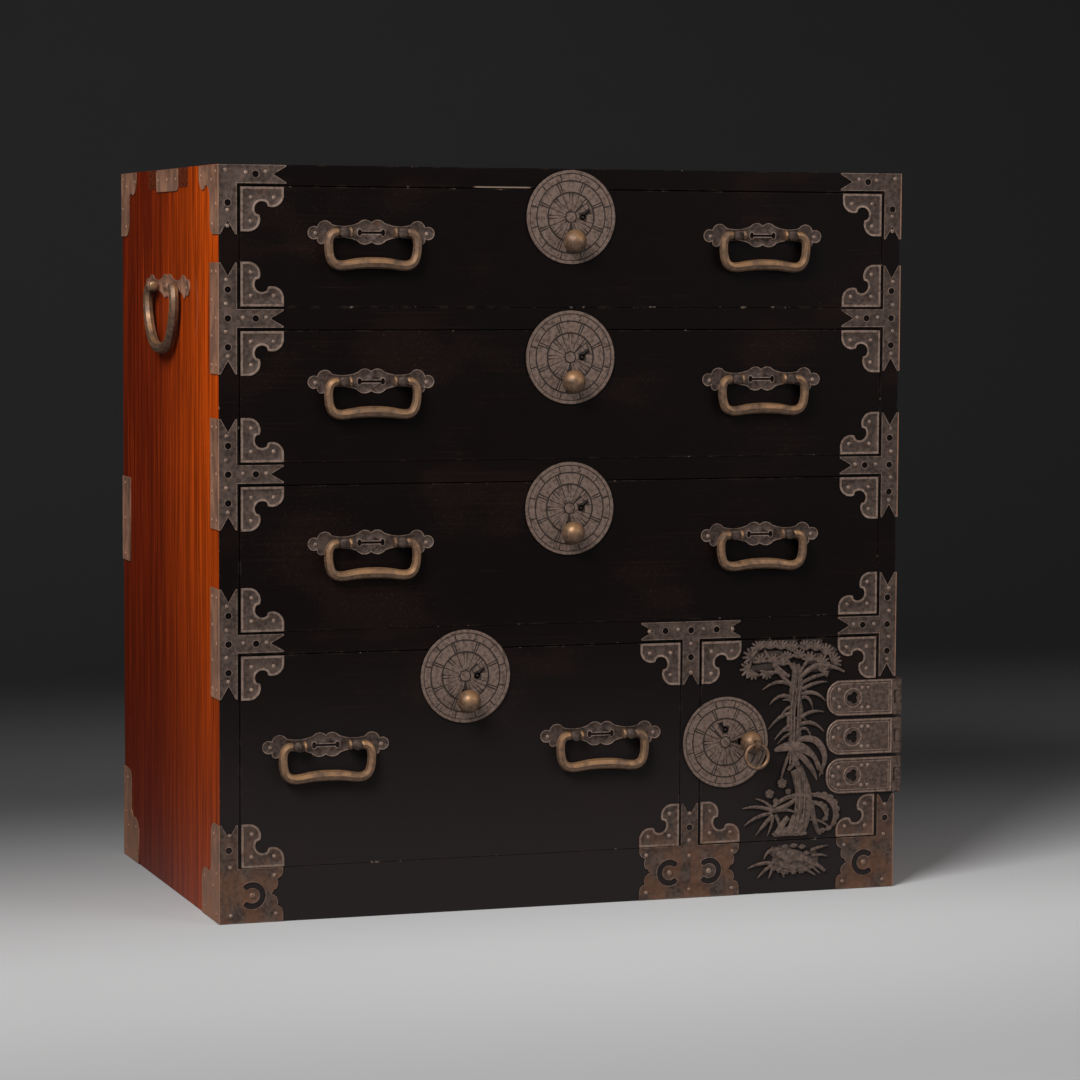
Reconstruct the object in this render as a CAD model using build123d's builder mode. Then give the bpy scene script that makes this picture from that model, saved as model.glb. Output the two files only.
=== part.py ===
from build123d import *
from collections import namedtuple
from math import cos, hypot, radians, sin, sqrt
import os

# An isho (clothing) chest: a box-jointed carcass with four drawers, a side-hung door over three
# small inner drawers, round locks, bail handles and forged iron mounts.
# X runs to the right, Y to the back and Z up. The origin is on the floor, under the middle.

os.makedirs("parts", exist_ok=True)

# ---- Carcass: driving dimensions, in millimetres ----
chest_width = 825.0
chest_depth = 500.0
chest_height = 850.0
side_thickness = 23.0
top_thickness = 23.0
rail_height = 25.0
rail_depth = 25.0
base_height = 62.0
bottom_thickness = 15.0
dust_thickness = 8.0
back_thickness = 8.0
back_board_count = 4
back_rebate = 8.0
housing_depth = 5.0
tenon_length = 12.0
tenon_height = 15.0
tenon_thickness = 12.0
finger_width = 206.0
frame_setback = 0.5
bearer_width = 40.0

# ---- Drawers and door ----
drawer_openings = (135.0, 148.5, 165.0)
post_width = 24.0
door_opening_width = 225.5
partition_thickness = 12.0
running_gap = 0.3
head_gap = 1.0
side_gap = 1.0
front_thickness = 20.0
front_lap = 8.0
drawer_side_thickness = 9.0
drawer_back_thickness = 9.0
drawer_bottom_thickness = 8.0
drawer_side_drop = 8.0
drawer_back_gap = 6.0
joint_finger = 0.34
door_thickness = 20.0

# ---- Inner drawers behind the door ----
inner_count = 3
inner_setback = 38.0
inner_shelf_thickness = 10.0
inner_front_thickness = 12.0
inner_wall = 7.0
inner_bottom_thickness = 5.0
inner_pull_radius = 7.0
inner_pull_length = 12.0
inner_pull_chamfer = 2.0

# ---- Locks ----
lock_radius = 53.5
lock_plate_thickness = 1.5
lock_rim_width = 3.5
lock_rim_height = 1.0
lock_hub_radius = 5.5
lock_drop = 32.0
knob_drop = 27.5
knob_radius = 13.3
knob_neck_radius = 6.0
knob_neck_length = 1.6
knob_clearance = 0.9
stem_radius = 3.0
stem_clearance = 0.5
bolt_travel = 8.0
bolt_width = 24.0
bolt_thickness = 5.0
bolt_tail = 10.0
bolt_clearance = 0.5
pocket_depth = 8.0
pocket_width = 40.0
pocket_throat = 10.0
case_thickness = 1.5
case_margin = 6.0
keyhole_radius = 3.4
keyhole_offset = 14.5
keyhole_slot_length = 9.0
keyhole_slot_width = 1.8
keyhole_slot_angle = 42.0
key_pin_radius = 1.5
ring_radius = 14.0
ring_wire_radius = 2.2
ring_clearance = 0.35
ring_lug_width = 5.0
ring_lug_radius = 5.0
ring_lug_length = 8.0

# ---- Bail handles ----
iron_thickness = 1.2
handle_rise = 16.0
handle_inset_wide = 152.5
handle_inset_narrow = 99.75
handle_half_length = 74.0
handle_slot_length = 26.0
handle_slot_width = 1.6
handle_slot_end = 2.3
eye_offset = 34.0
eye_radius = 5.5
eye_length = 7.5
eye_cap = 4.95
eye_gap = 1.0
shank_size = 5.0
shank_clearance = 0.1
clinch_length = 14.0
clinch_thickness = 1.2
bail_half_width = 51.0
bail_drop = 35.5
bail_radius = 5.3
bail_swell_radius = 6.6
bail_swell_length = 56.0
bail_corner = 9.5
bail_lower_corner = 14.0
bail_pin_radius = 3.0
bail_pin_root = 1.0
pin_clearance = 0.05
bail_sides = 8

# ---- Side handles ----
side_handle_drop = 137.0
side_handle_half_length = 112.0
side_eye_offset = 47.0
side_bail_half_width = 67.0
side_bail_drop = 70.0
side_bail_corner = 12.0
side_bail_lower_corner = 46.0
side_bail_radius = 6.0
side_bail_swell_radius = 7.2
side_bail_swell_length = 36.0

# ---- Carcass irons ----
strap_width = 20.5
corner_arm = 77.0
corner_hole = 42.0
tee_half_length = 62.0
tee_arm = 74.0
tee_hole_pitch = 32.0
fishtail_depth = 15.0
fishtail_lip = 1.64
iron_hole_radius = 3.0
shoe_width = 73.0
shoe_stem_top = 112.0
shoe_hole_height = 83.0
shoe_side_width = 83.0
shoe_side_height = 55.0
post_shoe_width = 125.0
scallop_depth = 11.0
scallop_top = 48.0
scallop_middle = 32.0
scallop_bottom = 9.0
crescent_offset = 37.3
crescent_radius = 12.0
crescent_width = 5.5
crescent_span = 250.0
post_crescent_offset = 25.0
side_strip_width = 38.0
top_flange_width = 90.0
top_flange_height = 26.0
flange_shoulder = 12.0
top_tab_width = 112.0
top_tab_corner = 6.0
rear_strip_width = 43.0
rear_strip_height = 104.0
rear_strip_drop = 426.0
rear_flange = 22.0
edge_gap = 0.4
board_gap = 0.4

# ---- Corner irons of the drawers and the door ----
corner_size = 49.5
corner_inset = 0.6
corner_shoulder = 9.0
corner_lobe_radius = 13.5
corner_bite_centre = 24.5
corner_bite_radius = 8.6

# ---- Hinges ----
hinge_height = 42.5
hinge_pitch = 46.5
hinge_reach = 88.0
hinge_thickness = 2.0
hinge_end_bow = 14.5
hinge_barrel_radius = 5.5
hinge_pin_radius = 2.2
hinge_leaf_width = 40.0
hinge_knuckle_gap = 0.3
hinge_barrel_gap = 0.5
hinge_pin_head = 1.0
hinge_pin_head_radius = 3.85
trefoil_radius = 4.0
trefoil_spread = 3.6
trefoil_offset = 34.0

# ---- Relief on the door and the base ----
relief_thickness = 3.0
relief_drawn_width = 223.5
relief_drawn_height = 239.5
base_relief_drawn_height = 62.0

# ---- Places worked out from the dimensions above ----
front_y = -chest_depth / 2
back_y = chest_depth / 2
frame_y = front_y + frame_setback
rail_back_y = frame_y + rail_depth
inside_back_y = back_y - back_thickness
outer_x = chest_width / 2
inner_x = outer_x - side_thickness
top_underside = chest_height - top_thickness
post_right = inner_x - door_opening_width
post_left = post_right - post_width
side_handle_z = chest_height - side_handle_drop
rear_strip_centre = chest_height - rear_strip_drop
front_back_y = front_y + front_thickness
eye_y = front_y - iron_thickness - eye_length

Bay = namedtuple("Bay", "left right bottom top handle_inset")

bays = []
rails = []
bay_top = top_underside
for opening_height in drawer_openings:
    bay_bottom = bay_top - opening_height
    bays.append(Bay(-inner_x, inner_x, bay_bottom, bay_top, handle_inset_wide))
    rails.append((bay_bottom - rail_height, bay_bottom))
    bay_top = bay_bottom - rail_height
bays.append(Bay(-inner_x, post_left, base_height, bay_top, handle_inset_narrow))
door_bay = Bay(post_right, inner_x, base_height, bay_top, 0.0)
door_middle = (door_bay.bottom + door_bay.top) / 2


def add_board(low, high, mode=Mode.ADD):
    """Adds a square-edged board between two opposite corners, or cuts its shape away."""
    size = [abs(b - a) for a, b in zip(low, high)]
    centre = tuple((a + b) / 2 for a, b in zip(low, high))
    with Locations(centre):
        Box(*size, mode=mode)


def front_plane(x=0.0, z=0.0, y=front_y):
    """A plane that faces the front: its x is the chest's X and its y is the chest's Z."""
    return Plane(origin=(x, y, z), x_dir=(1, 0, 0), z_dir=(0, -1, 0))


def side_plane(side, z=0.0):
    """A plane on a side panel's outer face, seen from outside: its y is the chest's Z."""
    return Plane(origin=(side * outer_x, 0, z), x_dir=(0, side, 0), z_dir=(side, 0, 0))


def finish(solid, name):
    """Labels a piece and writes it as the node of that name."""
    solid.label = name
    export_step(solid, f"parts/{name}.step")


def group(solids):
    """Groups separate solids in one node without fusing them."""
    return Compound(children=list(solids))


# ---- Lock places: a lock's own y points along its bolt, up on a drawer, left on the door ----
def drawer_lock_plane(bay):
    return front_plane((bay.left + bay.right) / 2, bay.top - lock_drop)


door_lock_plane = Plane(
    origin=(door_bay.left + lock_drop, front_y, door_middle), x_dir=(0, 0, 1), z_dir=(0, -1, 0)
)
pocket_floor = front_thickness - pocket_depth
lock_edge = lock_drop - head_gap
bolt_front = pocket_floor + bolt_clearance
bolt_end = lock_edge - running_gap
pocket_bottom = -knob_drop - bolt_tail - bolt_travel / 2


def cut_bolt_mortise(plane):
    """Cuts the mortise that the thrown bolt enters, in the rail or post beside a lock."""
    depth = bolt_travel + bolt_clearance
    with BuildSketch(plane.offset(-bolt_front + bolt_clearance)) as mouth:
        with Locations((0, lock_drop + depth / 2)):
            Rectangle(bolt_width + 2 * bolt_clearance, depth)
    extrude(mouth.sketch, amount=-bolt_thickness - 2 * bolt_clearance, mode=Mode.SUBTRACT)


def cut_lock_pocket(plane):
    """Cuts the pocket for the bolt, the stem's slot and the keyhole in a front board."""
    throat_bottom = lock_edge - pocket_throat
    with BuildSketch(plane.offset(-front_thickness)) as pocket:
        with Locations((0, (throat_bottom + pocket_bottom) / 2)):
            Rectangle(pocket_width, throat_bottom - pocket_bottom)
        with Locations((0, lock_edge - pocket_throat / 2)):
            Rectangle(bolt_width + 2 * bolt_clearance, pocket_throat + head_gap)
    extrude(pocket.sketch, amount=pocket_depth, mode=Mode.SUBTRACT)
    with BuildSketch(plane) as passages:
        with Locations((0, -knob_drop + bolt_travel / 2)):
            slot_width = 2 * (stem_radius + stem_clearance)
            Rectangle(slot_width, bolt_travel + slot_width)
        with Locations((keyhole_offset, 0)):
            Circle(keyhole_radius + stem_clearance)
    extrude(passages.sketch, amount=-pocket_floor, mode=Mode.SUBTRACT)


def lock_case_and_plate(plane):
    """The engraved face plate on the front, and the case plate that closes the pocket behind."""
    with BuildPart() as plate:
        with BuildSketch(plane):
            Circle(lock_radius)
        extrude(amount=lock_plate_thickness)
        with BuildSketch(plane.offset(lock_plate_thickness)):
            Circle(lock_radius)
            Circle(lock_radius - lock_rim_width, mode=Mode.SUBTRACT)
            Circle(lock_hub_radius)
        extrude(amount=lock_rim_height)
        with BuildSketch(plane):
            with Locations((0, -knob_drop + bolt_travel / 2)):
                Rectangle(2 * stem_radius + stem_clearance, bolt_travel + 2 * stem_radius + stem_clearance)
            with Locations((keyhole_offset, 0)):
                Circle(keyhole_radius)
            with Locations(Location((keyhole_offset, 0), keyhole_slot_angle)):
                with Locations((keyhole_slot_length / 2 + key_pin_radius, 0)):
                    Rectangle(keyhole_slot_length, keyhole_slot_width)
        extrude(amount=lock_plate_thickness, mode=Mode.SUBTRACT)
    case_top = lock_edge
    case_bottom = pocket_bottom - case_margin
    with BuildPart() as case:
        with BuildSketch(plane.offset(-front_thickness)):
            with Locations((0, (case_top + case_bottom) / 2)):
                Rectangle(pocket_width + 2 * case_margin, case_top - case_bottom)
        extrude(amount=-case_thickness)
        with BuildSketch(plane.offset(-front_thickness)):
            with Locations((keyhole_offset, 0)):
                Circle(key_pin_radius)
        extrude(amount=front_thickness + lock_plate_thickness)
    return plate.part, case.part


def knob_and_bolt(plane, with_lug=False):
    """The ball knob on its stem, riveted to the bolt that it slides."""
    centre = plane.from_local_coords((0, -knob_drop, 0))
    neck_back = lock_plate_thickness + knob_clearance
    ball_back = neck_back + knob_neck_length
    ball_centre = ball_back + sqrt(knob_radius**2 - knob_neck_radius**2)
    section = Plane(origin=centre, x_dir=(1, 0, 0), z_dir=(0, 0, 1))
    with BuildPart() as knob:
        with BuildSketch(section):
            with BuildLine():
                Polyline(
                    (0, bolt_front),
                    (stem_radius, bolt_front),
                    (stem_radius, -neck_back),
                    (knob_neck_radius, -neck_back),
                    (knob_neck_radius, -ball_back),
                )
                ThreePointArc(
                    (knob_neck_radius, -ball_back),
                    (knob_radius, -ball_centre),
                    (0, -ball_centre - knob_radius),
                )
                Line((0, -ball_centre - knob_radius), (0, bolt_front))
            make_face()
        revolve(axis=Axis(centre, (0, 1, 0)))
        if with_lug:
            lug_reach = ball_centre + knob_radius + ring_lug_length
            hole_reach = lug_reach - ring_lug_radius
            lug_side = centre - (ring_lug_width / 2, 0, 0)
            with BuildSketch(Plane(origin=lug_side, x_dir=(0, -1, 0), z_dir=(1, 0, 0))):
                with Locations((hole_reach, 0)):
                    Circle(ring_lug_radius)
                with Locations((hole_reach - ring_lug_length, 0)):
                    Rectangle(2 * ring_lug_length, 2 * ring_lug_radius)
                with Locations((hole_reach, 0)):
                    Circle(ring_wire_radius + ring_clearance, mode=Mode.SUBTRACT)
            extrude(amount=ring_lug_width)
    with BuildPart() as bolt:
        with BuildSketch(plane.offset(-bolt_front)):
            with Locations((0, (bolt_end - knob_drop - bolt_tail) / 2)):
                Rectangle(bolt_width, bolt_end + knob_drop + bolt_tail)
        extrude(amount=-bolt_thickness)
        fillet(bolt.edges().filter_by(Axis.Y).group_by(SortBy.LENGTH)[0], radius=key_pin_radius)
    return knob.part, bolt.part


# ---- Iron profiles, drawn flat with their reference point at the sketch's origin ----
def corner_iron_profile():
    """An L with lobed ends and a round bite in its inner corner; the outer corner is the origin."""
    lobe_centre = corner_size - corner_lobe_radius
    reach = corner_lobe_radius / sqrt(2)
    lobe_end = (lobe_centre - corner_lobe_radius * 0.36, corner_shoulder + corner_lobe_radius * 0.933)
    bite = corner_bite_radius / sqrt(2)
    cusp = (corner_bite_centre + corner_bite_radius * 0.62, corner_bite_centre - corner_bite_radius * 0.785)
    with BuildSketch() as profile:
        with BuildLine():
            Polyline((0, 0), (corner_size, 0), (corner_size, corner_shoulder))
            ThreePointArc(
                (corner_size, corner_shoulder), (lobe_centre + reach, corner_shoulder + reach), lobe_end
            )
            Line(lobe_end, cusp)
            ThreePointArc(cusp, (corner_bite_centre - bite, corner_bite_centre - bite), cusp[::-1])
            Line(cusp[::-1], lobe_end[::-1])
            ThreePointArc(
                lobe_end[::-1], (corner_shoulder + reach, lobe_centre + reach), (corner_shoulder, corner_size)
            )
            Polyline((corner_shoulder, corner_size), (0, corner_size), (0, 0))
        make_face()
    return profile.sketch


def handle_plate_profile(half_length):
    """A cloud-shaped plate, with a lobe at each end and a double swell round its pierced middle."""
    scale = half_length / handle_half_length
    with BuildSketch() as profile:
        with BuildLine() as outline:
            ThreePointArc((0, 11.4), (7 * scale, 14.5), (15 * scale, 11))
            ThreePointArc((15 * scale, 11), (30 * scale, 7.3), (46 * scale, 9))
            ThreePointArc((46 * scale, 9), (57 * scale, 12.8), (63 * scale, 6))
            ThreePointArc((63 * scale, 6), (74 * scale, -0.5), (63 * scale, -7))
            ThreePointArc((63 * scale, -7), (59.5 * scale, -13), (53 * scale, -9))
            ThreePointArc((53 * scale, -9), (34 * scale, -5.6), (17 * scale, -9))
            ThreePointArc((17 * scale, -9), (8.5 * scale, -13.3), (0, -10.6))
            mirror(outline.line, about=Plane.YZ)
        make_face()
        Rectangle(handle_slot_length, handle_slot_width, mode=Mode.SUBTRACT)
        with GridLocations(handle_slot_length, 0, 2, 1):
            Circle(handle_slot_end, mode=Mode.SUBTRACT)
    return profile.sketch


def strap_profile(length, notched_ends):
    """A strap along x, with a fishtail cut in each end that is named by its sign."""
    half_mouth = strap_width / 2 - fishtail_lip
    with BuildSketch() as profile:
        Rectangle(length, strap_width)
        for end in notched_ends:
            with BuildLine():
                Polyline(
                    (end * length / 2, half_mouth),
                    (end * (length / 2 - fishtail_depth), 0),
                    (end * length / 2, -half_mouth),
                    close=True,
                )
            make_face(mode=Mode.SUBTRACT)
    return profile.sketch


def tee_profile():
    """A tee: its crossbar stands along y at x = 0 and its stem points along +x."""
    with BuildSketch() as profile:
        with Locations((strap_width / 2, 0)):
            add(strap_profile(2 * tee_half_length, (-1, 1)), rotation=90)
        with Locations((tee_arm / 2, 0)):
            add(strap_profile(tee_arm, (1,)))
        with Locations((strap_width / 2, 0)):
            with GridLocations(0, tee_hole_pitch, 1, 3):
                Circle(iron_hole_radius, mode=Mode.SUBTRACT)
        with Locations((corner_hole, 0)):
            Circle(iron_hole_radius, mode=Mode.SUBTRACT)
    return profile.sketch


def corner_strap_profile():
    """Two straps that meet at the origin, one along +x and one along +y, with fishtail ends."""
    with BuildSketch() as profile:
        with Locations((corner_arm / 2, strap_width / 2)):
            add(strap_profile(corner_arm, (1,)))
        with Locations((strap_width / 2, corner_arm / 2)):
            add(strap_profile(corner_arm, (1,)), rotation=90)
        with Locations((corner_hole, strap_width / 2), (strap_width / 2, corner_hole)):
            Circle(iron_hole_radius, mode=Mode.SUBTRACT)
    return profile.sketch


def flange_profile(width, height, strip, length):
    """The side leaf of an edge iron: a wide foot at the origin and a strip that runs up from it."""
    with BuildSketch() as profile:
        with BuildLine():
            Polyline((0, length), (0, 0), (width, 0), (width, height - flange_shoulder))
            ThreePointArc(
                (width, height - flange_shoulder), (width * 0.92, height * 0.92), (width * 0.72, height)
            )
            ThreePointArc(
                (width * 0.72, height),
                (strip + 0.25 * flange_shoulder, height + 0.25 * flange_shoulder),
                (strip, height + flange_shoulder),
            )
            Line((strip, height + flange_shoulder), (strip, length - flange_shoulder))
            ThreePointArc(
                (strip, length - flange_shoulder), (strip * 0.85, length - 3), (strip * 0.6, length)
            )
            Line((strip * 0.6, length), (0, length))
        make_face()
    return profile.sketch


def scalloped_block(width, scalloped_sides):
    """A base iron's block, from x = 0 to its width; -1 and 1 name the sides that are scalloped."""
    block_top = base_height - edge_gap
    with BuildSketch() as profile:
        with BuildLine():
            for side, x, inward in ((-1, 0, scallop_depth), (1, width, -scallop_depth)):
                if side in scalloped_sides:
                    shoulder = (x, scallop_top)
                    cusp = (x + inward, scallop_middle)
                    heel = (x, scallop_bottom)
                    upper_bow = (x + 0.75 * inward, 0.7 * scallop_top + 0.3 * scallop_middle)
                    lower_bow = (x + 0.35 * inward, (scallop_middle + scallop_bottom) / 2)
                    Line((x, block_top), shoulder)
                    ThreePointArc(shoulder, upper_bow, cusp)
                    ThreePointArc(cusp, lower_bow, heel)
                    Line(heel, (x, 0))
                else:
                    Line((x, block_top), (x, 0))
            Line((0, 0), (width, 0))
            Line((0, block_top), (width, block_top))
        make_face()
    return profile.sketch


def cut_crescent(x, opening_angle):
    """Pierces a crescent, open towards an angle, in the sketch that is being drawn."""
    start = opening_angle + (360 - crescent_span) / 2
    arc = Edge.make_circle(crescent_radius, start_angle=start, end_angle=start + crescent_span)
    with Locations((x, base_height / 2 - edge_gap)):
        SlotArc(arc, crescent_width, mode=Mode.SUBTRACT)


def bail_solid(plane, half_width, drop, corner, lower_corner, radius, eyes, swell_radius, swell_length):
    """A forged bail in a plane whose y is up: pins in the eyes, flared arms and a swollen grip."""
    knee = half_width - corner
    foot = half_width - lower_corner
    with BuildPart() as bail:
        with BuildLine(plane) as path:
            Line((-eyes - eye_radius - eye_gap, 0), (-knee, 0))
            ThreePointArc(
                (-knee, 0),
                (-knee - corner / sqrt(2), -corner + corner / sqrt(2)),
                (-half_width, -corner),
            )
            if drop > corner + lower_corner + eye_gap:
                Line((-half_width, -corner), (-half_width, -drop + lower_corner))
            ThreePointArc(
                (-half_width, -drop + lower_corner),
                (-foot - lower_corner / sqrt(2), -drop + lower_corner - lower_corner / sqrt(2)),
                (-foot, -drop),
            )
            Line((-foot, -drop), (0, -drop))
        with BuildSketch(Plane(origin=path.line @ 0, z_dir=path.line % 0, x_dir=plane.z_dir)):
            RegularPolygon(radius, bail_sides, rotation=180 / bail_sides)
        sweep(path=path.line)
        grip_x_dir = plane.z_dir
        grip_z_dir = plane.x_dir
        for offset, size in ((-swell_length / 2, radius), (0, swell_radius)):
            station = plane.from_local_coords((offset, -drop, 0))
            with BuildSketch(Plane(origin=station, x_dir=grip_x_dir, z_dir=grip_z_dir)):
                RegularPolygon(size, bail_sides, rotation=180 / bail_sides)
        loft(ruled=True)
        pin_start = plane.from_local_coords((-eyes + eye_radius + eye_gap, 0, 0))
        with BuildSketch(Plane(origin=pin_start, x_dir=grip_x_dir, z_dir=-grip_z_dir)):
            Circle(bail_pin_radius)
        extrude(amount=2 * eye_radius + 2 * eye_gap + bail_pin_root)
        mirror(about=Plane(origin=plane.origin, z_dir=plane.x_dir))
    return bail.part


def eye_solid(plane, board_thickness, clinched):
    """An eye on a square shank through the board, clinched behind it or riveted flush."""
    reach = eye_length + iron_thickness
    with BuildPart() as eye:
        with BuildSketch(plane.offset(iron_thickness)):
            Circle(eye_radius)
        extrude(amount=eye_length + eye_cap)
        with BuildSketch(plane.offset(iron_thickness)):
            Rectangle(shank_size, shank_size)
        extrude(amount=-iron_thickness - board_thickness)
        if clinched:
            with BuildSketch(plane.offset(-board_thickness)):
                Rectangle(shank_size, 2 * clinch_length)
            extrude(amount=-clinch_thickness)
        cross = Plane(
            origin=plane.from_local_coords((-eye_radius - eye_gap, 0, reach)),
            x_dir=plane.z_dir,
            z_dir=plane.x_dir,
        )
        with BuildSketch(cross):
            Circle(bail_pin_radius + pin_clearance)
        extrude(amount=2 * (eye_radius + eye_gap), mode=Mode.SUBTRACT)
    return eye.part


# ---- Side panels ----
for side, side_name in ((-1, "left"), (1, "right")):
    with BuildPart() as side_panel:
        add_board((side * inner_x, frame_y, 0), (side * outer_x, back_y, chest_height))
        add_board(
            (side * inner_x, -finger_width / 2, top_underside),
            (side * outer_x, finger_width / 2, chest_height),
            Mode.SUBTRACT,
        )
        add_board(
            (side * inner_x, inside_back_y, 0),
            (side * (inner_x + back_rebate), back_y, top_underside),
            Mode.SUBTRACT,
        )
        housing_x = side * (inner_x + housing_depth)
        for rail_bottom, rail_top in rails:
            add_board(
                (side * inner_x, rail_back_y, rail_top - dust_thickness),
                (housing_x, inside_back_y, rail_top),
                Mode.SUBTRACT,
            )
        add_board(
            (side * inner_x, rail_back_y, base_height - bottom_thickness),
            (housing_x, inside_back_y, base_height),
            Mode.SUBTRACT,
        )
        for low, high in rails + [(0.0, base_height)]:
            middle = (low + high) / 2
            add_board(
                (side * inner_x, frame_y + rail_depth / 2 - tenon_thickness / 2, middle - tenon_height / 2),
                (
                    side * (inner_x + tenon_length),
                    frame_y + rail_depth / 2 + tenon_thickness / 2,
                    middle + tenon_height / 2,
                ),
                Mode.SUBTRACT,
            )
        shank_hole = shank_size + 2 * shank_clearance
        with BuildSketch(side_plane(side, side_handle_z)):
            with GridLocations(2 * side_eye_offset, 0, 2, 1):
                Rectangle(shank_hole, shank_hole)
        extrude(amount=-side_thickness, mode=Mode.SUBTRACT)
    finish(side_panel.part, f"side_panel_{side_name}")

# ---- Top, bottom, back and base ----
with BuildPart() as top_board:
    with BuildSketch(Plane.XY.offset(top_underside)):
        with Locations((0, (frame_y + back_y) / 2)):
            Rectangle(2 * inner_x, back_y - frame_y)
        Rectangle(chest_width, finger_width)
    extrude(amount=top_thickness)
    cut_bolt_mortise(drawer_lock_plane(bays[0]))
finish(top_board.part, "top_board")

with BuildPart() as bottom_board:
    shelf_x = inner_x + housing_depth
    add_board((-shelf_x, rail_back_y, base_height - bottom_thickness), (shelf_x, inside_back_y, base_height))
finish(bottom_board.part, "bottom_board")

with BuildPart() as back_boards:
    board_height = top_underside / back_board_count
    back_x = inner_x + back_rebate
    for row in range(back_board_count):
        add_board(
            (-back_x, inside_back_y, row * board_height + board_gap * (row > 0)),
            (back_x, back_y, (row + 1) * board_height),
        )
finish(back_boards.part, "back_boards")


def add_rail(low, high):
    """A rail between the side panels, with a tenon on each end, in the part being built."""
    middle = (low + high) / 2
    add_board((-inner_x, frame_y, low), (inner_x, rail_back_y, high))
    add_board(
        (-inner_x - tenon_length, frame_y + rail_depth / 2 - tenon_thickness / 2, middle - tenon_height / 2),
        (inner_x + tenon_length, frame_y + rail_depth / 2 + tenon_thickness / 2, middle + tenon_height / 2),
    )


with BuildPart() as drawer_rails:
    for (rail_bottom, rail_top), bay_below in zip(rails, bays[1:]):
        add_rail(rail_bottom, rail_top)
        cut_bolt_mortise(drawer_lock_plane(bay_below))
finish(drawer_rails.part, "drawer_rails")

with BuildPart() as base_rail:
    add_rail(0.0, base_height)
bearer_top = base_height - bottom_thickness
with BuildPart() as rear_bearer:
    add_board((-inner_x, inside_back_y - rail_depth, 0), (inner_x, inside_back_y, bearer_top))
with BuildPart() as middle_bearer:
    add_board((-bearer_width / 2, rail_back_y, 0), (bearer_width / 2, inside_back_y - rail_depth, bearer_top))
finish(group([base_rail.part, rear_bearer.part, middle_bearer.part]), "base_frame")

with BuildPart() as dust_boards:
    for rail_bottom, rail_top in rails:
        add_board((-shelf_x, rail_back_y, rail_top - dust_thickness), (shelf_x, inside_back_y, rail_top))
finish(dust_boards.part, "dust_boards")

# ---- Post, partition and the shelves behind the door ----
with BuildPart() as door_post:
    add_board((post_left, frame_y, base_height), (post_right, rail_back_y, door_bay.top))
    cut_bolt_mortise(door_lock_plane)
finish(door_post.part, "door_post")

partition_top = rails[-1][1] - dust_thickness
lining_x = post_left + partition_thickness
with BuildPart() as partition:
    add_board((post_left, rail_back_y, base_height), (lining_x, inside_back_y, partition_top))
with BuildPart() as lining:
    add_board((lining_x, rail_back_y, base_height), (post_right, inside_back_y, partition_top))
finish(group([partition.part, lining.part]), "partition_boards")

inner_front_y = front_y + inner_setback
inner_pitch = (door_bay.top - base_height + inner_shelf_thickness) / inner_count
with BuildPart() as inner_shelves:
    for row in range(1, inner_count + 1):
        shelf_top = base_height + row * inner_pitch
        shelf_bottom = shelf_top - inner_shelf_thickness
        add_board((post_right, inner_front_y, shelf_bottom), (inner_x, inside_back_y, shelf_top))
finish(inner_shelves.part, "inner_shelves")


# ---- Drawers ----
def drawer_box(left, right, bottom, top, front, back, wall, floor):
    """Bottom, sides and back of a drawer, finger-jointed at the back, as separate boards."""
    side_bottom = bottom + floor
    height = top - side_bottom
    finger_low = side_bottom + height * joint_finger
    finger_high = top - height * joint_finger
    boards = []
    with BuildPart() as floor_board:
        add_board((left, front, bottom), (right, back, side_bottom))
    boards.append(floor_board.part)
    for outside, inside in ((left, left + wall), (right, right - wall)):
        with BuildPart() as side_board:
            add_board((outside, front, side_bottom), (inside, back, top))
            add_board((outside, back - wall, finger_low), (inside, back, finger_high), Mode.SUBTRACT)
        boards.append(side_board.part)
    with BuildPart() as back_board:
        add_board((left + wall, back - wall, side_bottom), (right - wall, back, top))
        add_board((left, back - wall, finger_low), (right, back, finger_high))
    boards.append(back_board.part)
    return boards


def add_front_board(left, right, bottom, top, front, thickness, lap, wall, floor, side_top):
    """A drawer front, rebated behind for the sides and the bottom, in the part being built."""
    back = front + thickness
    add_board((left, front, bottom), (right, back, top))
    add_board((left, back - lap, bottom), (right, back, bottom + floor), Mode.SUBTRACT)
    add_board((left, back - lap, bottom), (left + wall, back, side_top), Mode.SUBTRACT)
    add_board((right - wall, back - lap, bottom), (right, back, side_top), Mode.SUBTRACT)


def corner_irons(left, right, bottom, top):
    """Four corner irons, set just inside the edges of a front."""
    low_x, high_x = left + corner_inset, right - corner_inset
    low_z, high_z = bottom + corner_inset, top - corner_inset
    corners = ((low_x, low_z), (high_x, low_z), (high_x, high_z), (low_x, high_z))
    with BuildPart() as irons:
        with BuildSketch(front_plane()) as outlines:
            for turn, corner in enumerate(corners):
                with Locations(corner):
                    add(corner_iron_profile(), rotation=90 * turn)
        extrude(outlines.sketch, amount=iron_thickness)
    return irons.part


def handle_plates(centres, plane, half_length, offset):
    """Pierced handle plates at some points of a plane, with square holes for the eyes' shanks."""
    hole = shank_size + 2 * shank_clearance
    with BuildPart() as plates:
        with BuildSketch(plane) as outlines:
            for centre in centres:
                with Locations(centre):
                    add(handle_plate_profile(half_length))
                    with GridLocations(2 * offset, 0, 2, 1):
                        Rectangle(hole, hole, mode=Mode.SUBTRACT)
        extrude(outlines.sketch, amount=iron_thickness)
    return plates.part


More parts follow.
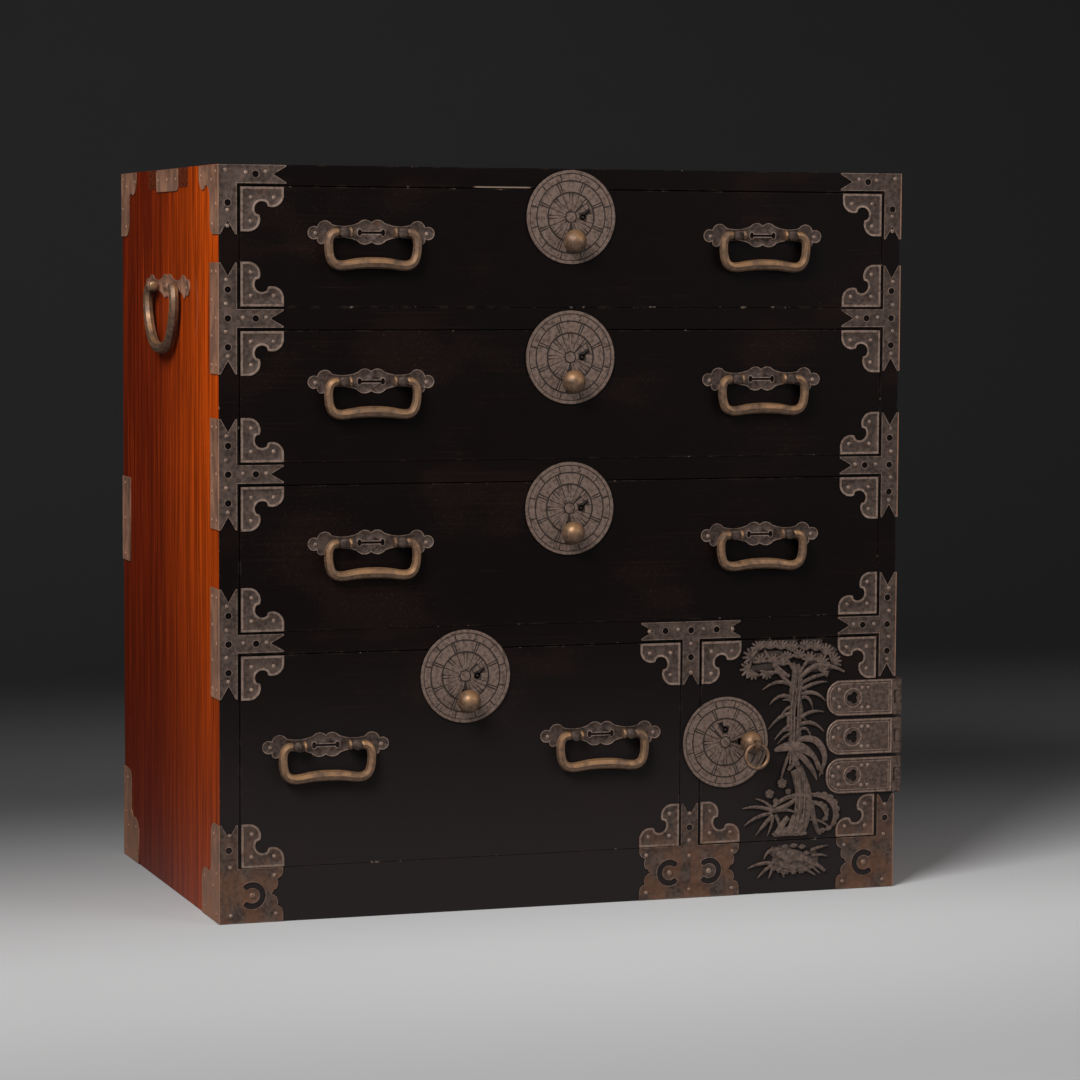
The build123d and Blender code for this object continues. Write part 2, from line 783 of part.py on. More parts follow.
for number, bay in enumerate(bays, start=1):
    left, right = bay.left + side_gap, bay.right - side_gap
    bottom, top = bay.bottom + running_gap, bay.top - head_gap
    side_top = top - drawer_side_drop
    handle_z = (bay.bottom + bay.top) / 2 + handle_rise
    handle_centres = [(bay.left + bay.handle_inset, handle_z), (bay.right - bay.handle_inset, handle_z)]
    lock_plane = drawer_lock_plane(bay)

    with BuildPart() as drawer_front:
        add_front_board(
            left, right, bottom, top, front_y, front_thickness, front_lap,
            drawer_side_thickness, drawer_bottom_thickness, side_top,
        )
        cut_lock_pocket(lock_plane)
        with BuildSketch(front_plane()) as shank_holes:
            with Locations(*handle_centres):
                with GridLocations(2 * eye_offset, 0, 2, 1):
                    Rectangle(shank_size + 2 * shank_clearance, shank_size + 2 * shank_clearance)
        extrude(shank_holes.sketch, amount=-front_thickness, mode=Mode.SUBTRACT)
    finish(drawer_front.part, f"drawer_{number}_front")

    box_front = front_back_y - front_lap
    box_back = inside_back_y - drawer_back_gap
    boards = drawer_box(
        left, right, bottom, side_top, box_front, box_back, drawer_side_thickness, drawer_bottom_thickness
    )
    finish(group(boards), f"drawer_{number}_box")

    plates = handle_plates(handle_centres, front_plane(), handle_half_length, eye_offset)
    eyes = [
        eye_solid(front_plane(x + offset, z), front_thickness, clinched=True)
        for x, z in handle_centres
        for offset in (-eye_offset, eye_offset)
    ]
    irons = [corner_irons(left, right, bottom, top), plates] + eyes
    finish(group(irons), f"drawer_{number}_irons")
    finish(group(lock_case_and_plate(lock_plane)), f"drawer_{number}_lock")
    finish(group(knob_and_bolt(lock_plane)), f"drawer_{number}_lock_knob")
    for (x, z), hand in zip(handle_centres, ("left", "right")):
        bail = bail_solid(
            front_plane(x, z, eye_y), bail_half_width, bail_drop, bail_corner, bail_lower_corner,
            bail_radius, eye_offset, bail_swell_radius, bail_swell_length,
        )
        finish(bail, f"drawer_{number}_bail_{hand}")

# ---- Door ----
door_left, door_right = door_bay.left + head_gap, door_bay.right - head_gap
door_bottom, door_top = door_bay.bottom + head_gap, door_bay.top - head_gap
hinge_axis_x = outer_x + hinge_barrel_gap + hinge_barrel_radius
hinge_axis_y = front_y - hinge_thickness + hinge_barrel_radius
hinge_room = door_top - door_bottom - 2 * (corner_inset + corner_size)
hinge_count = 1 + int((hinge_room - hinge_height) / hinge_pitch)
hinge_heights = [door_middle + (row - (hinge_count - 1) / 2) * hinge_pitch for row in range(hinge_count)]
knuckle_height = hinge_height / 3

with BuildPart() as door_panel:
    add_board((door_left, front_y, door_bottom), (door_right, front_y + door_thickness, door_top))
    cut_lock_pocket(door_lock_plane)
finish(door_panel.part, "door_panel")
finish(corner_irons(door_left, door_right, door_bottom, door_top), "door_corner_irons")
finish(group(lock_case_and_plate(door_lock_plane)), "door_lock")
finish(group(knob_and_bolt(door_lock_plane, with_lug=True)), "door_lock_knob")

hinge_straps = []
hinge_leaves = []
hinge_pins = []
for z in hinge_heights:
    strap_right = outer_x - hinge_knuckle_gap
    strap_left = outer_x - hinge_reach
    with BuildPart() as strap:
        with BuildSketch(front_plane()):
            with BuildLine():
                Line((strap_right, z - hinge_height / 2), (strap_left + hinge_end_bow, z - hinge_height / 2))
                ThreePointArc(
                    (strap_left + hinge_end_bow, z - hinge_height / 2),
                    (strap_left, z),
                    (strap_left + hinge_end_bow, z + hinge_height / 2),
                )
                Line((strap_left + hinge_end_bow, z + hinge_height / 2), (strap_right, z + hinge_height / 2))
                Line((strap_right, z + hinge_height / 2), (strap_right, z - hinge_height / 2))
            make_face()
            with Locations((strap_left + trefoil_offset, z)):
                with PolarLocations(trefoil_spread, 3, start_angle=60):
                    Circle(trefoil_radius, mode=Mode.SUBTRACT)
        extrude(amount=hinge_thickness)
        for end in (-1, 1):
            low = z + end * hinge_height / 2
            high = z + end * (knuckle_height / 2 + hinge_knuckle_gap)
            add_board(
                (strap_right, front_y - hinge_thickness, low), (hinge_axis_x, front_y, high)
            )
            with Locations((hinge_axis_x, hinge_axis_y, (low + high) / 2)):
                Cylinder(hinge_barrel_radius, abs(high - low))
                Cylinder(hinge_pin_radius + pin_clearance, abs(high - low), mode=Mode.SUBTRACT)
    hinge_straps.append(strap.part)
    with BuildPart() as leaf:
        leaf_front = hinge_axis_y + hinge_barrel_radius + hinge_knuckle_gap
        add_board(
            (outer_x, leaf_front, z - hinge_height / 2),
            (outer_x + hinge_thickness, leaf_front + hinge_leaf_width, z + hinge_height / 2),
        )
        add_board(
            (outer_x, hinge_axis_y, z - knuckle_height / 2),
            (outer_x + hinge_thickness, leaf_front, z + knuckle_height / 2),
        )
        with Locations((hinge_axis_x, hinge_axis_y, z)):
            Cylinder(hinge_barrel_radius, knuckle_height)
            Cylinder(hinge_pin_radius + pin_clearance, knuckle_height, mode=Mode.SUBTRACT)
    hinge_leaves.append(leaf.part)
    with BuildPart() as pin:
        with Locations((hinge_axis_x, hinge_axis_y, z)):
            Cylinder(hinge_pin_radius, hinge_height + 2 * hinge_knuckle_gap)
        for end in (-1, 1):
            head_z = z + end * (hinge_height / 2 + hinge_knuckle_gap + hinge_pin_head / 2)
            with Locations((hinge_axis_x, hinge_axis_y, head_z)):
                Cylinder(hinge_pin_head_radius, hinge_pin_head)
    hinge_pins.append(pin.part)
finish(group(hinge_straps), "door_hinge_straps")
finish(group(hinge_leaves), "door_hinge_leaves")
finish(group(hinge_pins), "door_hinge_pins")

knob_x = door_bay.left + lock_drop + knob_drop
ball_front = (
    lock_plate_thickness + knob_clearance + knob_neck_length
    + sqrt(knob_radius**2 - knob_neck_radius**2) + knob_radius
)
ring_y = front_y - ball_front - ring_lug_length + ring_lug_radius
with BuildPart() as door_knob_ring:
    with Locations(Location((knob_x, ring_y, door_middle - ring_radius), (90, 0, 0))):
        Torus(ring_radius, ring_wire_radius)
finish(door_knob_ring.part, "door_knob_ring")

# ---- Inner drawers ----
for number in range(1, inner_count + 1):
    row = inner_count - number
    left, right = post_right + side_gap, inner_x - side_gap
    bottom = base_height + row * inner_pitch + running_gap
    top = base_height + (row + 1) * inner_pitch - inner_shelf_thickness - head_gap
    side_top = top - drawer_side_drop / 2
    lap = inner_front_thickness / 2
    pull_place = ((left + right) / 2, (bottom + top) / 2)
    with BuildPart() as inner_front:
        add_front_board(
            left, right, bottom, top, inner_front_y, inner_front_thickness, lap,
            inner_wall, inner_bottom_thickness, side_top,
        )
    with BuildPart() as inner_pull:
        with BuildSketch(front_plane(*pull_place, inner_front_y)):
            Circle(inner_pull_radius / 2)
        extrude(amount=inner_pull_length / 2)
        with BuildSketch(front_plane(*pull_place, inner_front_y - inner_pull_length / 2)):
            Circle(inner_pull_radius)
        extrude(amount=inner_pull_length / 2)
        chamfer(inner_pull.edges().filter_by(GeomType.CIRCLE).sort_by(Axis.Y)[0], length=inner_pull_chamfer)
    boards = drawer_box(
        left, right, bottom, side_top, inner_front_y + inner_front_thickness - lap,
        inside_back_y - drawer_back_gap, inner_wall, inner_bottom_thickness,
    )
    finish(group([inner_front.part, inner_pull.part] + boards), f"inner_drawer_{number}")

# ---- Carcass irons: each wraps a front or rear edge with one leaf on the side ----
iron_outer_x = outer_x + iron_thickness
front_leaf_y = frame_y - iron_thickness
rear_leaf_y = back_y + iron_thickness
irons_top = chest_height - edge_gap


def side_leaf_plane(y, z, toward_front=False, downward=False):
    """A plane on the right side panel for a leaf that starts at an edge of the panel."""
    x_dir = (0, -1 if toward_front else 1, 0)
    z_dir = (1 if toward_front == downward else -1, 0, 0)
    return Plane(origin=(outer_x, y, z), x_dir=x_dir, z_dir=z_dir)


def side_leaf(profile, plane):
    """A side leaf of the iron's thickness on the right side panel's outer face."""
    with BuildSketch(plane) as leaf:
        add(profile)
    outward = iron_thickness if plane.z_dir.X > 0 else -iron_thickness
    return extrude(leaf.sketch, amount=outward, mode=Mode.PRIVATE)


def front_leaf(profile, x, z, turn):
    """A front leaf of the iron's thickness on the stiles and rails."""
    with BuildSketch(front_plane(y=frame_y)) as leaf:
        with Locations((x, z)):
            add(profile, rotation=turn)
    return extrude(leaf.sketch, amount=iron_thickness, mode=Mode.PRIVATE)


top_flange = flange_profile(top_flange_width, top_flange_height, side_strip_width, corner_arm)
with BuildPart() as carcass_corner_irons:
    add(front_leaf(corner_strap_profile(), outer_x, irons_top, 180))
    add(side_leaf(top_flange, side_leaf_plane(front_leaf_y, irons_top, downward=True)))
    mirror(about=Plane.YZ)
finish(carcass_corner_irons.part, "carcass_corner_irons")

with BuildPart() as carcass_tee_irons:
    for rail_bottom, rail_top in rails:
        rail_middle = (rail_bottom + rail_top) / 2
        add(front_leaf(tee_profile(), outer_x, rail_middle, 180))
        add_board(
            (outer_x, front_leaf_y, rail_middle - tee_half_length),
            (iron_outer_x, front_leaf_y + side_strip_width, rail_middle + tee_half_length),
        )
    mirror(about=Plane.YZ)
finish(carcass_tee_irons.part, "carcass_tee_irons")

stem_height = shoe_stem_top - base_height
leaf_height = shoe_stem_top - edge_gap
base_flange = flange_profile(shoe_side_width, shoe_side_height, side_strip_width, leaf_height)
with BuildPart() as base_shoe_irons:
    with BuildSketch(front_plane(outer_x - shoe_width, edge_gap, frame_y)) as shoe:
        add(scalloped_block(shoe_width, (-1,)))
        with Locations((shoe_width - strap_width / 2, base_height + stem_height / 2 - edge_gap)):
            add(strap_profile(stem_height, (1,)), rotation=90)
        cut_crescent(shoe_width - crescent_offset, 0)
        with Locations((shoe_width - strap_width / 2, shoe_hole_height)):
            Circle(iron_hole_radius, mode=Mode.SUBTRACT)
    extrude(shoe.sketch, amount=iron_thickness)
    add(side_leaf(base_flange, side_leaf_plane(front_leaf_y, edge_gap)))
    mirror(about=Plane.YZ)
finish(base_shoe_irons.part, "base_shoe_irons")

post_middle = (post_left + post_right) / 2
rail_middle = (rails[-1][0] + rails[-1][1]) / 2
with BuildPart() as post_irons:
    add(front_leaf(tee_profile(), post_middle, rail_middle + strap_width / 2, -90))
    with BuildSketch(front_plane(post_middle - post_shoe_width / 2, edge_gap, frame_y)) as shoe:
        add(scalloped_block(post_shoe_width, (-1, 1)))
        with Locations((post_shoe_width / 2, base_height + stem_height / 2 - edge_gap)):
            add(strap_profile(stem_height, (1,)), rotation=90)
        cut_crescent(post_shoe_width / 2 - post_crescent_offset, 0)
        cut_crescent(post_shoe_width / 2 + post_crescent_offset, 180)
        with Locations((post_shoe_width / 2, shoe_hole_height)):
            Circle(iron_hole_radius, mode=Mode.SUBTRACT)
    extrude(shoe.sketch, amount=iron_thickness)
finish(post_irons.part, "post_irons")

rear_top = flange_profile(shoe_side_width, top_flange_height, rear_strip_width, corner_arm)
rear_base = flange_profile(shoe_side_width, shoe_side_height, rear_strip_width, leaf_height)
strip_low = rear_strip_centre - rear_strip_height / 2
strip_high = rear_strip_centre + rear_strip_height / 2
with BuildPart() as rear_irons:
    add(side_leaf(rear_top, side_leaf_plane(rear_leaf_y, irons_top, toward_front=True, downward=True)))
    add(side_leaf(rear_base, side_leaf_plane(rear_leaf_y, edge_gap, toward_front=True)))
    add_board((outer_x, rear_leaf_y - rear_strip_width, strip_low), (iron_outer_x, rear_leaf_y, strip_high))
    for low, high in (
        (edge_gap, shoe_stem_top), (strip_low, strip_high), (irons_top - corner_arm, irons_top),
    ):
        add_board((outer_x - rear_flange, back_y, low), (outer_x, rear_leaf_y, high))
    with BuildSketch(Plane(origin=(outer_x, 0, irons_top), x_dir=(0, 1, 0), z_dir=(1, 0, 0))) as tab:
        with Locations((0, -top_flange_height / 2)):
            RectangleRounded(top_tab_width, top_flange_height, top_tab_corner)
    extrude(tab.sketch, amount=iron_thickness)
    mirror(about=Plane.YZ)
finish(rear_irons.part, "side_and_rear_irons")

# ---- Side handles ----
side_plates = []
for side, side_name in ((-1, "left"), (1, "right")):
    face = side_plane(side, side_handle_z)
    side_plates.append(handle_plates([(0, 0)], face, side_handle_half_length, side_eye_offset))
    for offset in (-side_eye_offset, side_eye_offset):
        eye_plane = Plane(origin=face.from_local_coords((offset, 0, 0)), x_dir=face.x_dir, z_dir=face.z_dir)
        side_plates.append(eye_solid(eye_plane, side_thickness, clinched=False))
    bail_plane = face.offset(iron_thickness + eye_length)
    bail = bail_solid(
        bail_plane, side_bail_half_width, side_bail_drop, side_bail_corner, side_bail_lower_corner,
        side_bail_radius, side_eye_offset, side_bail_swell_radius, side_bail_swell_length,
    )
    finish(bail, f"side_bail_{side_name}")
finish(group(side_plates), "side_handle_plates")


# ---- Relief of pine, bamboo, plum and crane on the door, with rocks and a tortoise on the base ----
Fan = namedtuple("Fan", "x z first last count reach rise half_width")


def leaf_profile(length, half_width):
    """A pointed leaf that grows from the origin along x."""
    with BuildSketch() as profile:
        with BuildLine():
            ThreePointArc((0, 0), (length / 2, half_width), (length, 0))
            ThreePointArc((length, 0), (length / 2, -half_width), (0, 0))
        make_face()
    return profile.sketch


def add_fan(fan, wider, higher):
    """A fan of leaves whose tips lie on an ellipse as wide as its reach and as high as its rise."""
    for number in range(fan.count):
        angle = fan.first + (fan.last - fan.first) * number / max(fan.count - 1, 1)
        across = cos(radians(angle)) / (fan.reach * wider)
        upward = sin(radians(angle)) / (fan.rise * higher)
        with Locations((fan.x * wider, fan.z * higher)):
            add(leaf_profile(1 / hypot(across, upward), fan.half_width), rotation=angle)


def relief(plane, fans, trunk, trunk_width, wider, higher):
    """A cut iron relief: fans of leaves round a winding trunk, all of one plate, made to its board's size."""
    with BuildPart() as plate:
        with BuildSketch(plane) as outline:
            for fan in fans:
                add_fan(fan, wider, higher)
            with BuildLine():
                Spline(*[(x * wider, z * higher) for x, z in trunk])
            trace(line_width=trunk_width)
        extrude(outline.sketch, amount=relief_thickness)
    return plate.part


wider = (door_right - door_left) / relief_drawn_width
pine_canopy = Fan(119, 201, 0, 180, 9, 64, 37, 8)
pine_upper_twigs = Fan(122, 175, 10, 170, 4, 38, 24, 3.5)
pine_lower_twigs = Fan(122, 159, -150, -30, 3, 38, 26, 3.5)
crane_body = Fan(97, 109, 0, 0, 1, 60, 60, 13)
crane_wing = Fan(125, 109, -55, -35, 2, 42, 34, 5)
plum_blossom = Fan(105, 63, 0, 288, 5, 17, 17, 5)
bamboo = Fan(91, 32, 165, 290, 4, 38, 26, 4.5)
wisteria = Fan(134, 35, -35, 35, 4, 38, 26, 4.5)
rock = Fan(120, 11, 5, 175, 7, 32, 26, 8)
door_trunk = ((121, 8), (131, 49), (115, 102), (119, 149), (119, 201))
door_fans = (
    pine_canopy, pine_upper_twigs, pine_lower_twigs, crane_body, crane_wing, plum_blossom, bamboo,
    wisteria, rock,
)
door_relief_plane = front_plane(door_left, door_bottom)
higher = (door_top - door_bottom) / relief_drawn_height
finish(relief(door_relief_plane, door_fans, door_trunk, 13, wider, higher), "door_relief")

base_rock = Fan(119, 38, -30, 210, 9, 36, 20, 8)
base_bamboo = Fan(91, 38, 170, 275, 4, 32, 20, 4)
tortoise = Fan(137, 30, -14, 14, 3, 26, 24, 5)
base_trunk = ((97, 58), (103, 44), (115, 36), (137, 30))
base_fans = (base_rock, base_bamboo, tortoise)
base_relief_plane = front_plane(door_left, 0, frame_y)
higher = base_height / base_relief_drawn_height
finish(relief(base_relief_plane, base_fans, base_trunk, 12, wider, higher), "base_relief")
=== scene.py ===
"""An isho clothing chest, finished: lacquered boards, cut and hammered irons, engraved locks, forged
bails, nails and a relief of pine, bamboo, plum and crane, on a plain studio floor."""

from math import ceil, cos, pi, radians, sin

import bmesh
import bpy
from bpy.props import FloatProperty, FloatVectorProperty, PointerProperty
from bpy.types import Operator, Panel, PropertyGroup
from mathutils import Matrix, Vector


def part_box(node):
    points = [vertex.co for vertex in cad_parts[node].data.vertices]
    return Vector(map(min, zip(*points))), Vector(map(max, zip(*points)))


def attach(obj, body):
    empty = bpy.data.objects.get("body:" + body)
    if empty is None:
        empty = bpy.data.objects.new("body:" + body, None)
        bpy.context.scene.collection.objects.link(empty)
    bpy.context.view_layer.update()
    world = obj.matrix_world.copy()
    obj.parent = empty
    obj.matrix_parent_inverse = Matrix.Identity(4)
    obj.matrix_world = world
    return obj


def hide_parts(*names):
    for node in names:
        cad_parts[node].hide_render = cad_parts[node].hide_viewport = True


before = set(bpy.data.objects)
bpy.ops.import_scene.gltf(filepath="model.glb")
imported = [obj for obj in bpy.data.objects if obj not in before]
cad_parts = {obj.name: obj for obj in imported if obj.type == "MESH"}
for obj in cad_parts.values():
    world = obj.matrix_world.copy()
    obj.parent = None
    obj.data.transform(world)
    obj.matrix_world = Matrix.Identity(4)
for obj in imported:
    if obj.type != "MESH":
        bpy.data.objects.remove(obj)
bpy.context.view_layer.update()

bl_info = {
    "name": "Isho clothing chest",
    "version": (1, 0, 0),
    "blender": (4, 5, 0),
    "location": "View3D > Sidebar > Chest",
    "description": "Finishes the frame of an isho clothing chest with lacquer, irons and ornament",
    "category": "Object",
}

MM = 0.001
DRAWERS = ("drawer_1", "drawer_2", "drawer_3", "drawer_4")
HANDS = ("left", "right")
FRONT = Vector((0, -1, 0))

# How far the faces of the boards stand out from the chest's middle, and how thick an iron is
BOARD_FRONT = -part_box("drawer_1_front")[0].y
FRAME_FRONT = -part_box("base_frame")[0].y
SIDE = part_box("side_panel_right")[1].x
IRON = 1.2 * MM

# Heights of the rails, the middle of the post beside the door and the outer ends of a side, in millimetres
RAILS = (679.5, 506.0, 316.0)
POST = 152
SIDE_FRONT, SIDE_BACK = -250.7, 251.2

# From the lowest point of a bail up to its pins, and the height of a hinge strap
BAIL_DROP = 41.6 * MM
SIDE_BAIL_DROP = 76.65 * MM
STRAP_HEIGHT = 42.5 * MM


# ---- Sizes and colours that a user would change ----
def length(name, description, default):
    """A length setting in metres."""
    return FloatProperty(
        name=name, description=description, default=default, min=0.0, unit="LENGTH", precision=5
    )


def power(name, description, default):
    """A setting for a light's power in watts."""
    return FloatProperty(name=name, description=description, default=default, min=0.0, unit="POWER")


def colour(name, description, default):
    """A colour setting, linear and opaque."""
    return FloatVectorProperty(
        name=name, description=description, default=(*default, 1.0), size=4, min=0.0, max=1.0, subtype="COLOR"
    )


class WoodSettings(PropertyGroup):
    """Colours and edges of the boards."""

    black: colour("Black lacquer", "Lacquer of the drawer fronts, rails and stiles", (0.003, 0.0016, 0.0014))
    black_warm: colour("Warm black", "Where the black lacquer has thinned to brown", (0.0095, 0.0038, 0.003))
    # Lighter, greyer black low on the fronts: painted reflection of the pale floor in the lacquer
    black_painted_floor_reflection: colour("Hazy black", "Black lacquer dulled by dust near the floor", (0.018, 0.0137, 0.0138))
    worn_edge: colour("Worn edge", "Bare wood at chipped edges of the lacquer", (0.2, 0.145, 0.11))
    # The sides go from the first of these colours at the front to the second at the back: painted light, lit
    # near the front and falling off into painted shade at the back
    case_front_painted_light: colour("Case, near the front", "Lacquer of the sides near the front", (0.64, 0.083, 0.0034))
    case_back_painted_shade: colour("Case, near the back", "Lacquer of the sides near the back", (0.16, 0.014, 0.002))
    case_grain: colour("Case grain", "Dark late wood and pores of the case", (0.06, 0.006, 0.0015))
    paulownia: colour("Paulownia", "Bare wood of the drawer boxes, back and dust boards", (0.46, 0.315, 0.19))
    paulownia_grain: colour("Paulownia grain", "Grain lines of the bare wood", (0.27, 0.16, 0.085))
    small_drawer: colour("Small drawers", "Thin lacquer of the inner drawers", (0.2, 0.075, 0.03))
    edge: length("Edge", "How far the boards' edges are rounded", 0.7 * MM)


class IronSettings(PropertyGroup):
    """Colours and relief of the irons."""

    sheet: colour("Sheet iron", "Grey-brown patina of the cut sheet irons", (0.076, 0.049, 0.038))
    sheet_dark: colour("Sheet iron, dark", "Dark oxide in the hollows of the sheet", (0.027, 0.016, 0.012))
    worn: colour("Worn rim", "Rubbed metal along raised rims and edges", (0.25, 0.172, 0.134))
    # The worn colour paints rims and edges lighter: rubbed metal and painted edge highlight
    rust: colour("Rust", "Rust specks of all the irons", (0.27, 0.105, 0.045))
    side_rust: colour("Side rust", "Pale rust of the irons on the sides", (0.36, 0.175, 0.105))
    forged: colour("Forged iron", "Bails, ring and knobs", (0.13, 0.073, 0.043))
    # Lighter colour of the forged pieces' upper and outward faces: rubbed metal and painted highlight
    forged_rubbed_and_highlight: colour("Worn grip", "Where hands have rubbed the forged pieces", (0.44, 0.235, 0.11))
    rim: length("Rim", "Width of the raised rim of the drawers' corner irons", 2.5 * MM)
    panel_depth: length("Panel depth", "How far an iron's panel lies below its rim", 0.45 * MM)
    nail_radius: length("Nail radius", "Radius of a nail's head", 2.5 * MM)
    nail_height: length("Nail height", "How far a nail's head stands out", 1.1 * MM)
    engraving: length("Engraving", "How far the engraved panels of the locks stand out", 0.45 * MM)


class StageSettings(PropertyGroup):
    """The floor, the backdrop and the light."""

    floor: colour("Floor", "Colour of the floor in front", (0.6, 0.6, 0.6))
    backdrop: colour("Backdrop", "Colour of the backdrop", (0.02, 0.02, 0.021))
    world: FloatProperty(name="World", description="Strength of the even light", default=0.17, min=0.0)
    key: power("Key", "Power of the main soft light", 185.0)
    fill: power("Fill", "Power of the second soft light", 40.0)


# ---- Shader maths ----
class Value:
    """A socket in a finish's nodes; arithmetic on it adds Math nodes."""

    def __init__(self, finish, socket):
        self.finish = finish
        self.socket = socket

    def maths(self, operation, *terms):
        return self.finish.node("ShaderNodeMath", {"operation": operation}, dict(enumerate(terms)))

    def __add__(self, other):
        return self.maths("ADD", self, other)

    def __sub__(self, other):
        return self.maths("SUBTRACT", self, other)

    def __rsub__(self, other):
        return self.maths("SUBTRACT", other, self)

    def __mul__(self, other):
        return self.maths("MULTIPLY", self, other)

    __radd__ = __add__
    __rmul__ = __mul__

    def least(self, other):
        return self.maths("MINIMUM", self, other)

    def most(self, other):
        return self.maths("MAXIMUM", self, other)

    def size(self):
        return self.maths("ABSOLUTE", self)

    def root(self):
        return self.maths("SQRT", self)

    def step(self, start, end):
        """Goes smoothly from 0 at start to 1 at end; start may be the larger."""
        return self.finish.node(
            "ShaderNodeMapRange", {"interpolation_type": "SMOOTHSTEP"}, {0: self, 1: start, 2: end}
        )


class Finish:
    """A procedural material; patterns on it are laid out in the chest's own coordinates."""

    def __init__(self, name):
        self.material = bpy.data.materials.new(name)
        self.material.use_nodes = True
        self.tree = self.material.node_tree
        self.surface = self.tree.nodes["Principled BSDF"]
        self.place = self.node("ShaderNodeTexCoord", out="Object")
        self.x = self.node("ShaderNodeSeparateXYZ", values={0: self.place}, out="X")
        self.y = self.twin(self.x, "Y")
        self.z = self.twin(self.x, "Z")

    def node(self, kind, settings=None, values=None, out=0):
        """Adds a node: its settings first, then the values or links of its sockets."""
        node = self.tree.nodes.new(kind)
        for name, setting in (settings or {}).items():
            setattr(node, name, setting)
        for name, value in (values or {}).items():
            if isinstance(value, Value):
                self.tree.links.new(value.socket, node.inputs[name])
            else:
                node.inputs[name].default_value = value
        return Value(self, node.outputs[out])

    def twin(self, value, out):
        """Another output of the node that a value comes from."""
        return Value(self, value.socket.node.outputs[out])

    def mix(self, factor, first, second):
        """A colour between two."""
        return self.node("ShaderNodeMix", {"data_type": "RGBA"}, {0: factor, 6: first, 7: second}, out=2)

    def noise(self, scale, detail=3.0, roughness=0.55, distortion=0.0, shift=0.0):
        """Noise from 0 to 1; scale is how many cells there are to a metre along X, Y and Z."""
        values = {0: self.place, "Location": (shift, shift, shift), "Scale": scale}
        spread = self.node("ShaderNodeMapping", values=values)
        values = {0: spread, "Scale": 1.0, "Detail": detail, "Roughness": roughness, "Distortion": distortion}
        return self.node("ShaderNodeTexNoise", values=values)

    def dimples(self, cells):
        """Rounded hammer marks, from 0 in the middle of a mark to about 1 between marks."""
        values = {0: self.place, "Scale": cells, "Smoothness": 0.6}
        return self.node("ShaderNodeTexVoronoi", {"feature": "SMOOTH_F1"}, values)

    def bump(self, height, distance, strength=1.0):
        """A normal bent by a height in metres times the distance."""
        values = {"Strength": strength, "Distance": distance, "Height": height}
        return self.node("ShaderNodeBump", values=values)

    def coat(self, **sockets):
        """Sets or links the shader's own sockets and gives the finished material."""
        for name, value in sockets.items():
            socket = self.surface.inputs[name.replace("_", " ")]
            if isinstance(value, Value):
                self.tree.links.new(value.socket, socket)
            else:
                socket.default_value = value
        return self.material


def shade(factor, colour_value):
    """A colour made darker or lighter by a factor."""
    return (*(min(channel * factor, 1.0) for channel in colour_value[:3]), 1.0)


# ---- Finishes ----
def lacquer_colour(finish, wood, low, high):
    """Near-black lacquer on boards between two corners, thinned in places and chipped at the edges."""
    streaks = finish.noise((5, 260, 260), detail=4, roughness=0.6)
    clouds = finish.noise((7, 7, 11), detail=2, shift=3.1)
    thin = (streaks.step(0.52, 0.72) * 0.55 + clouds.step(0.5, 0.75) * 0.6) * clouds.step(0.3, 0.6)
    base = finish.mix(thin, tuple(wood.black), tuple(wood.black_warm))
    rubbed = finish.noise((14, 400, 900), detail=3, shift=9.7).step(0.66, 0.8)
    base = finish.mix(rubbed * 0.4, base, shade(0.16, wood.worn_edge))
    dust = finish.noise((900, 900, 900), detail=1, shift=6.6).step(0.7, 0.76) * clouds.step(0.4, 0.7)
    base = finish.mix(dust * 0.5, base, shade(0.45, wood.worn_edge))
    # Towards the floor the black is painted lighter: painted reflection of the floor
    base = finish.mix(finish.z.step(0.36, 0.0) * 0.95, base, tuple(wood.black_painted_floor_reflection))
    edge = (finish.x - low.x).least(high.x - finish.x).least((finish.z - low.z).least(high.z - finish.z))
    ragged = finish.noise((60, 60, 60), detail=5, roughness=0.7, shift=1.7)
    near = edge.step(2.0 * MM, 0.0)
    worn = near * ragged.step(0.5, 0.64)
    chip = edge.step(1.2 * MM, 0.2 * MM) * finish.noise((95, 95, 95), detail=3, shift=5.3).step(0.65, 0.7)
    base = finish.mix(worn * 0.5, base, shade(0.16, wood.worn_edge))
    return finish.mix(chip * 0.8, base, tuple(wood.worn_edge)), streaks, near


def black_lacquer(name, wood, low, high):
    """Near-black lacquer, satin, with the grain just showing."""
    finish = Finish(name)
    base, streaks, near = lacquer_colour(finish, wood, low, high)
    smears = finish.noise((22, 22, 9), detail=3, shift=7.7)
    dents = finish.noise((34, 34, 34), detail=1, shift=2.2)
    return finish.coat(
        Base_Color=base,
        Roughness=0.36 + smears * 0.22 + near * 0.12,
        Specular_IOR_Level=0.06,
        Normal=finish.bump(streaks * 0.12 + dents * 0.6, 0.5 * MM, 0.5),
    )


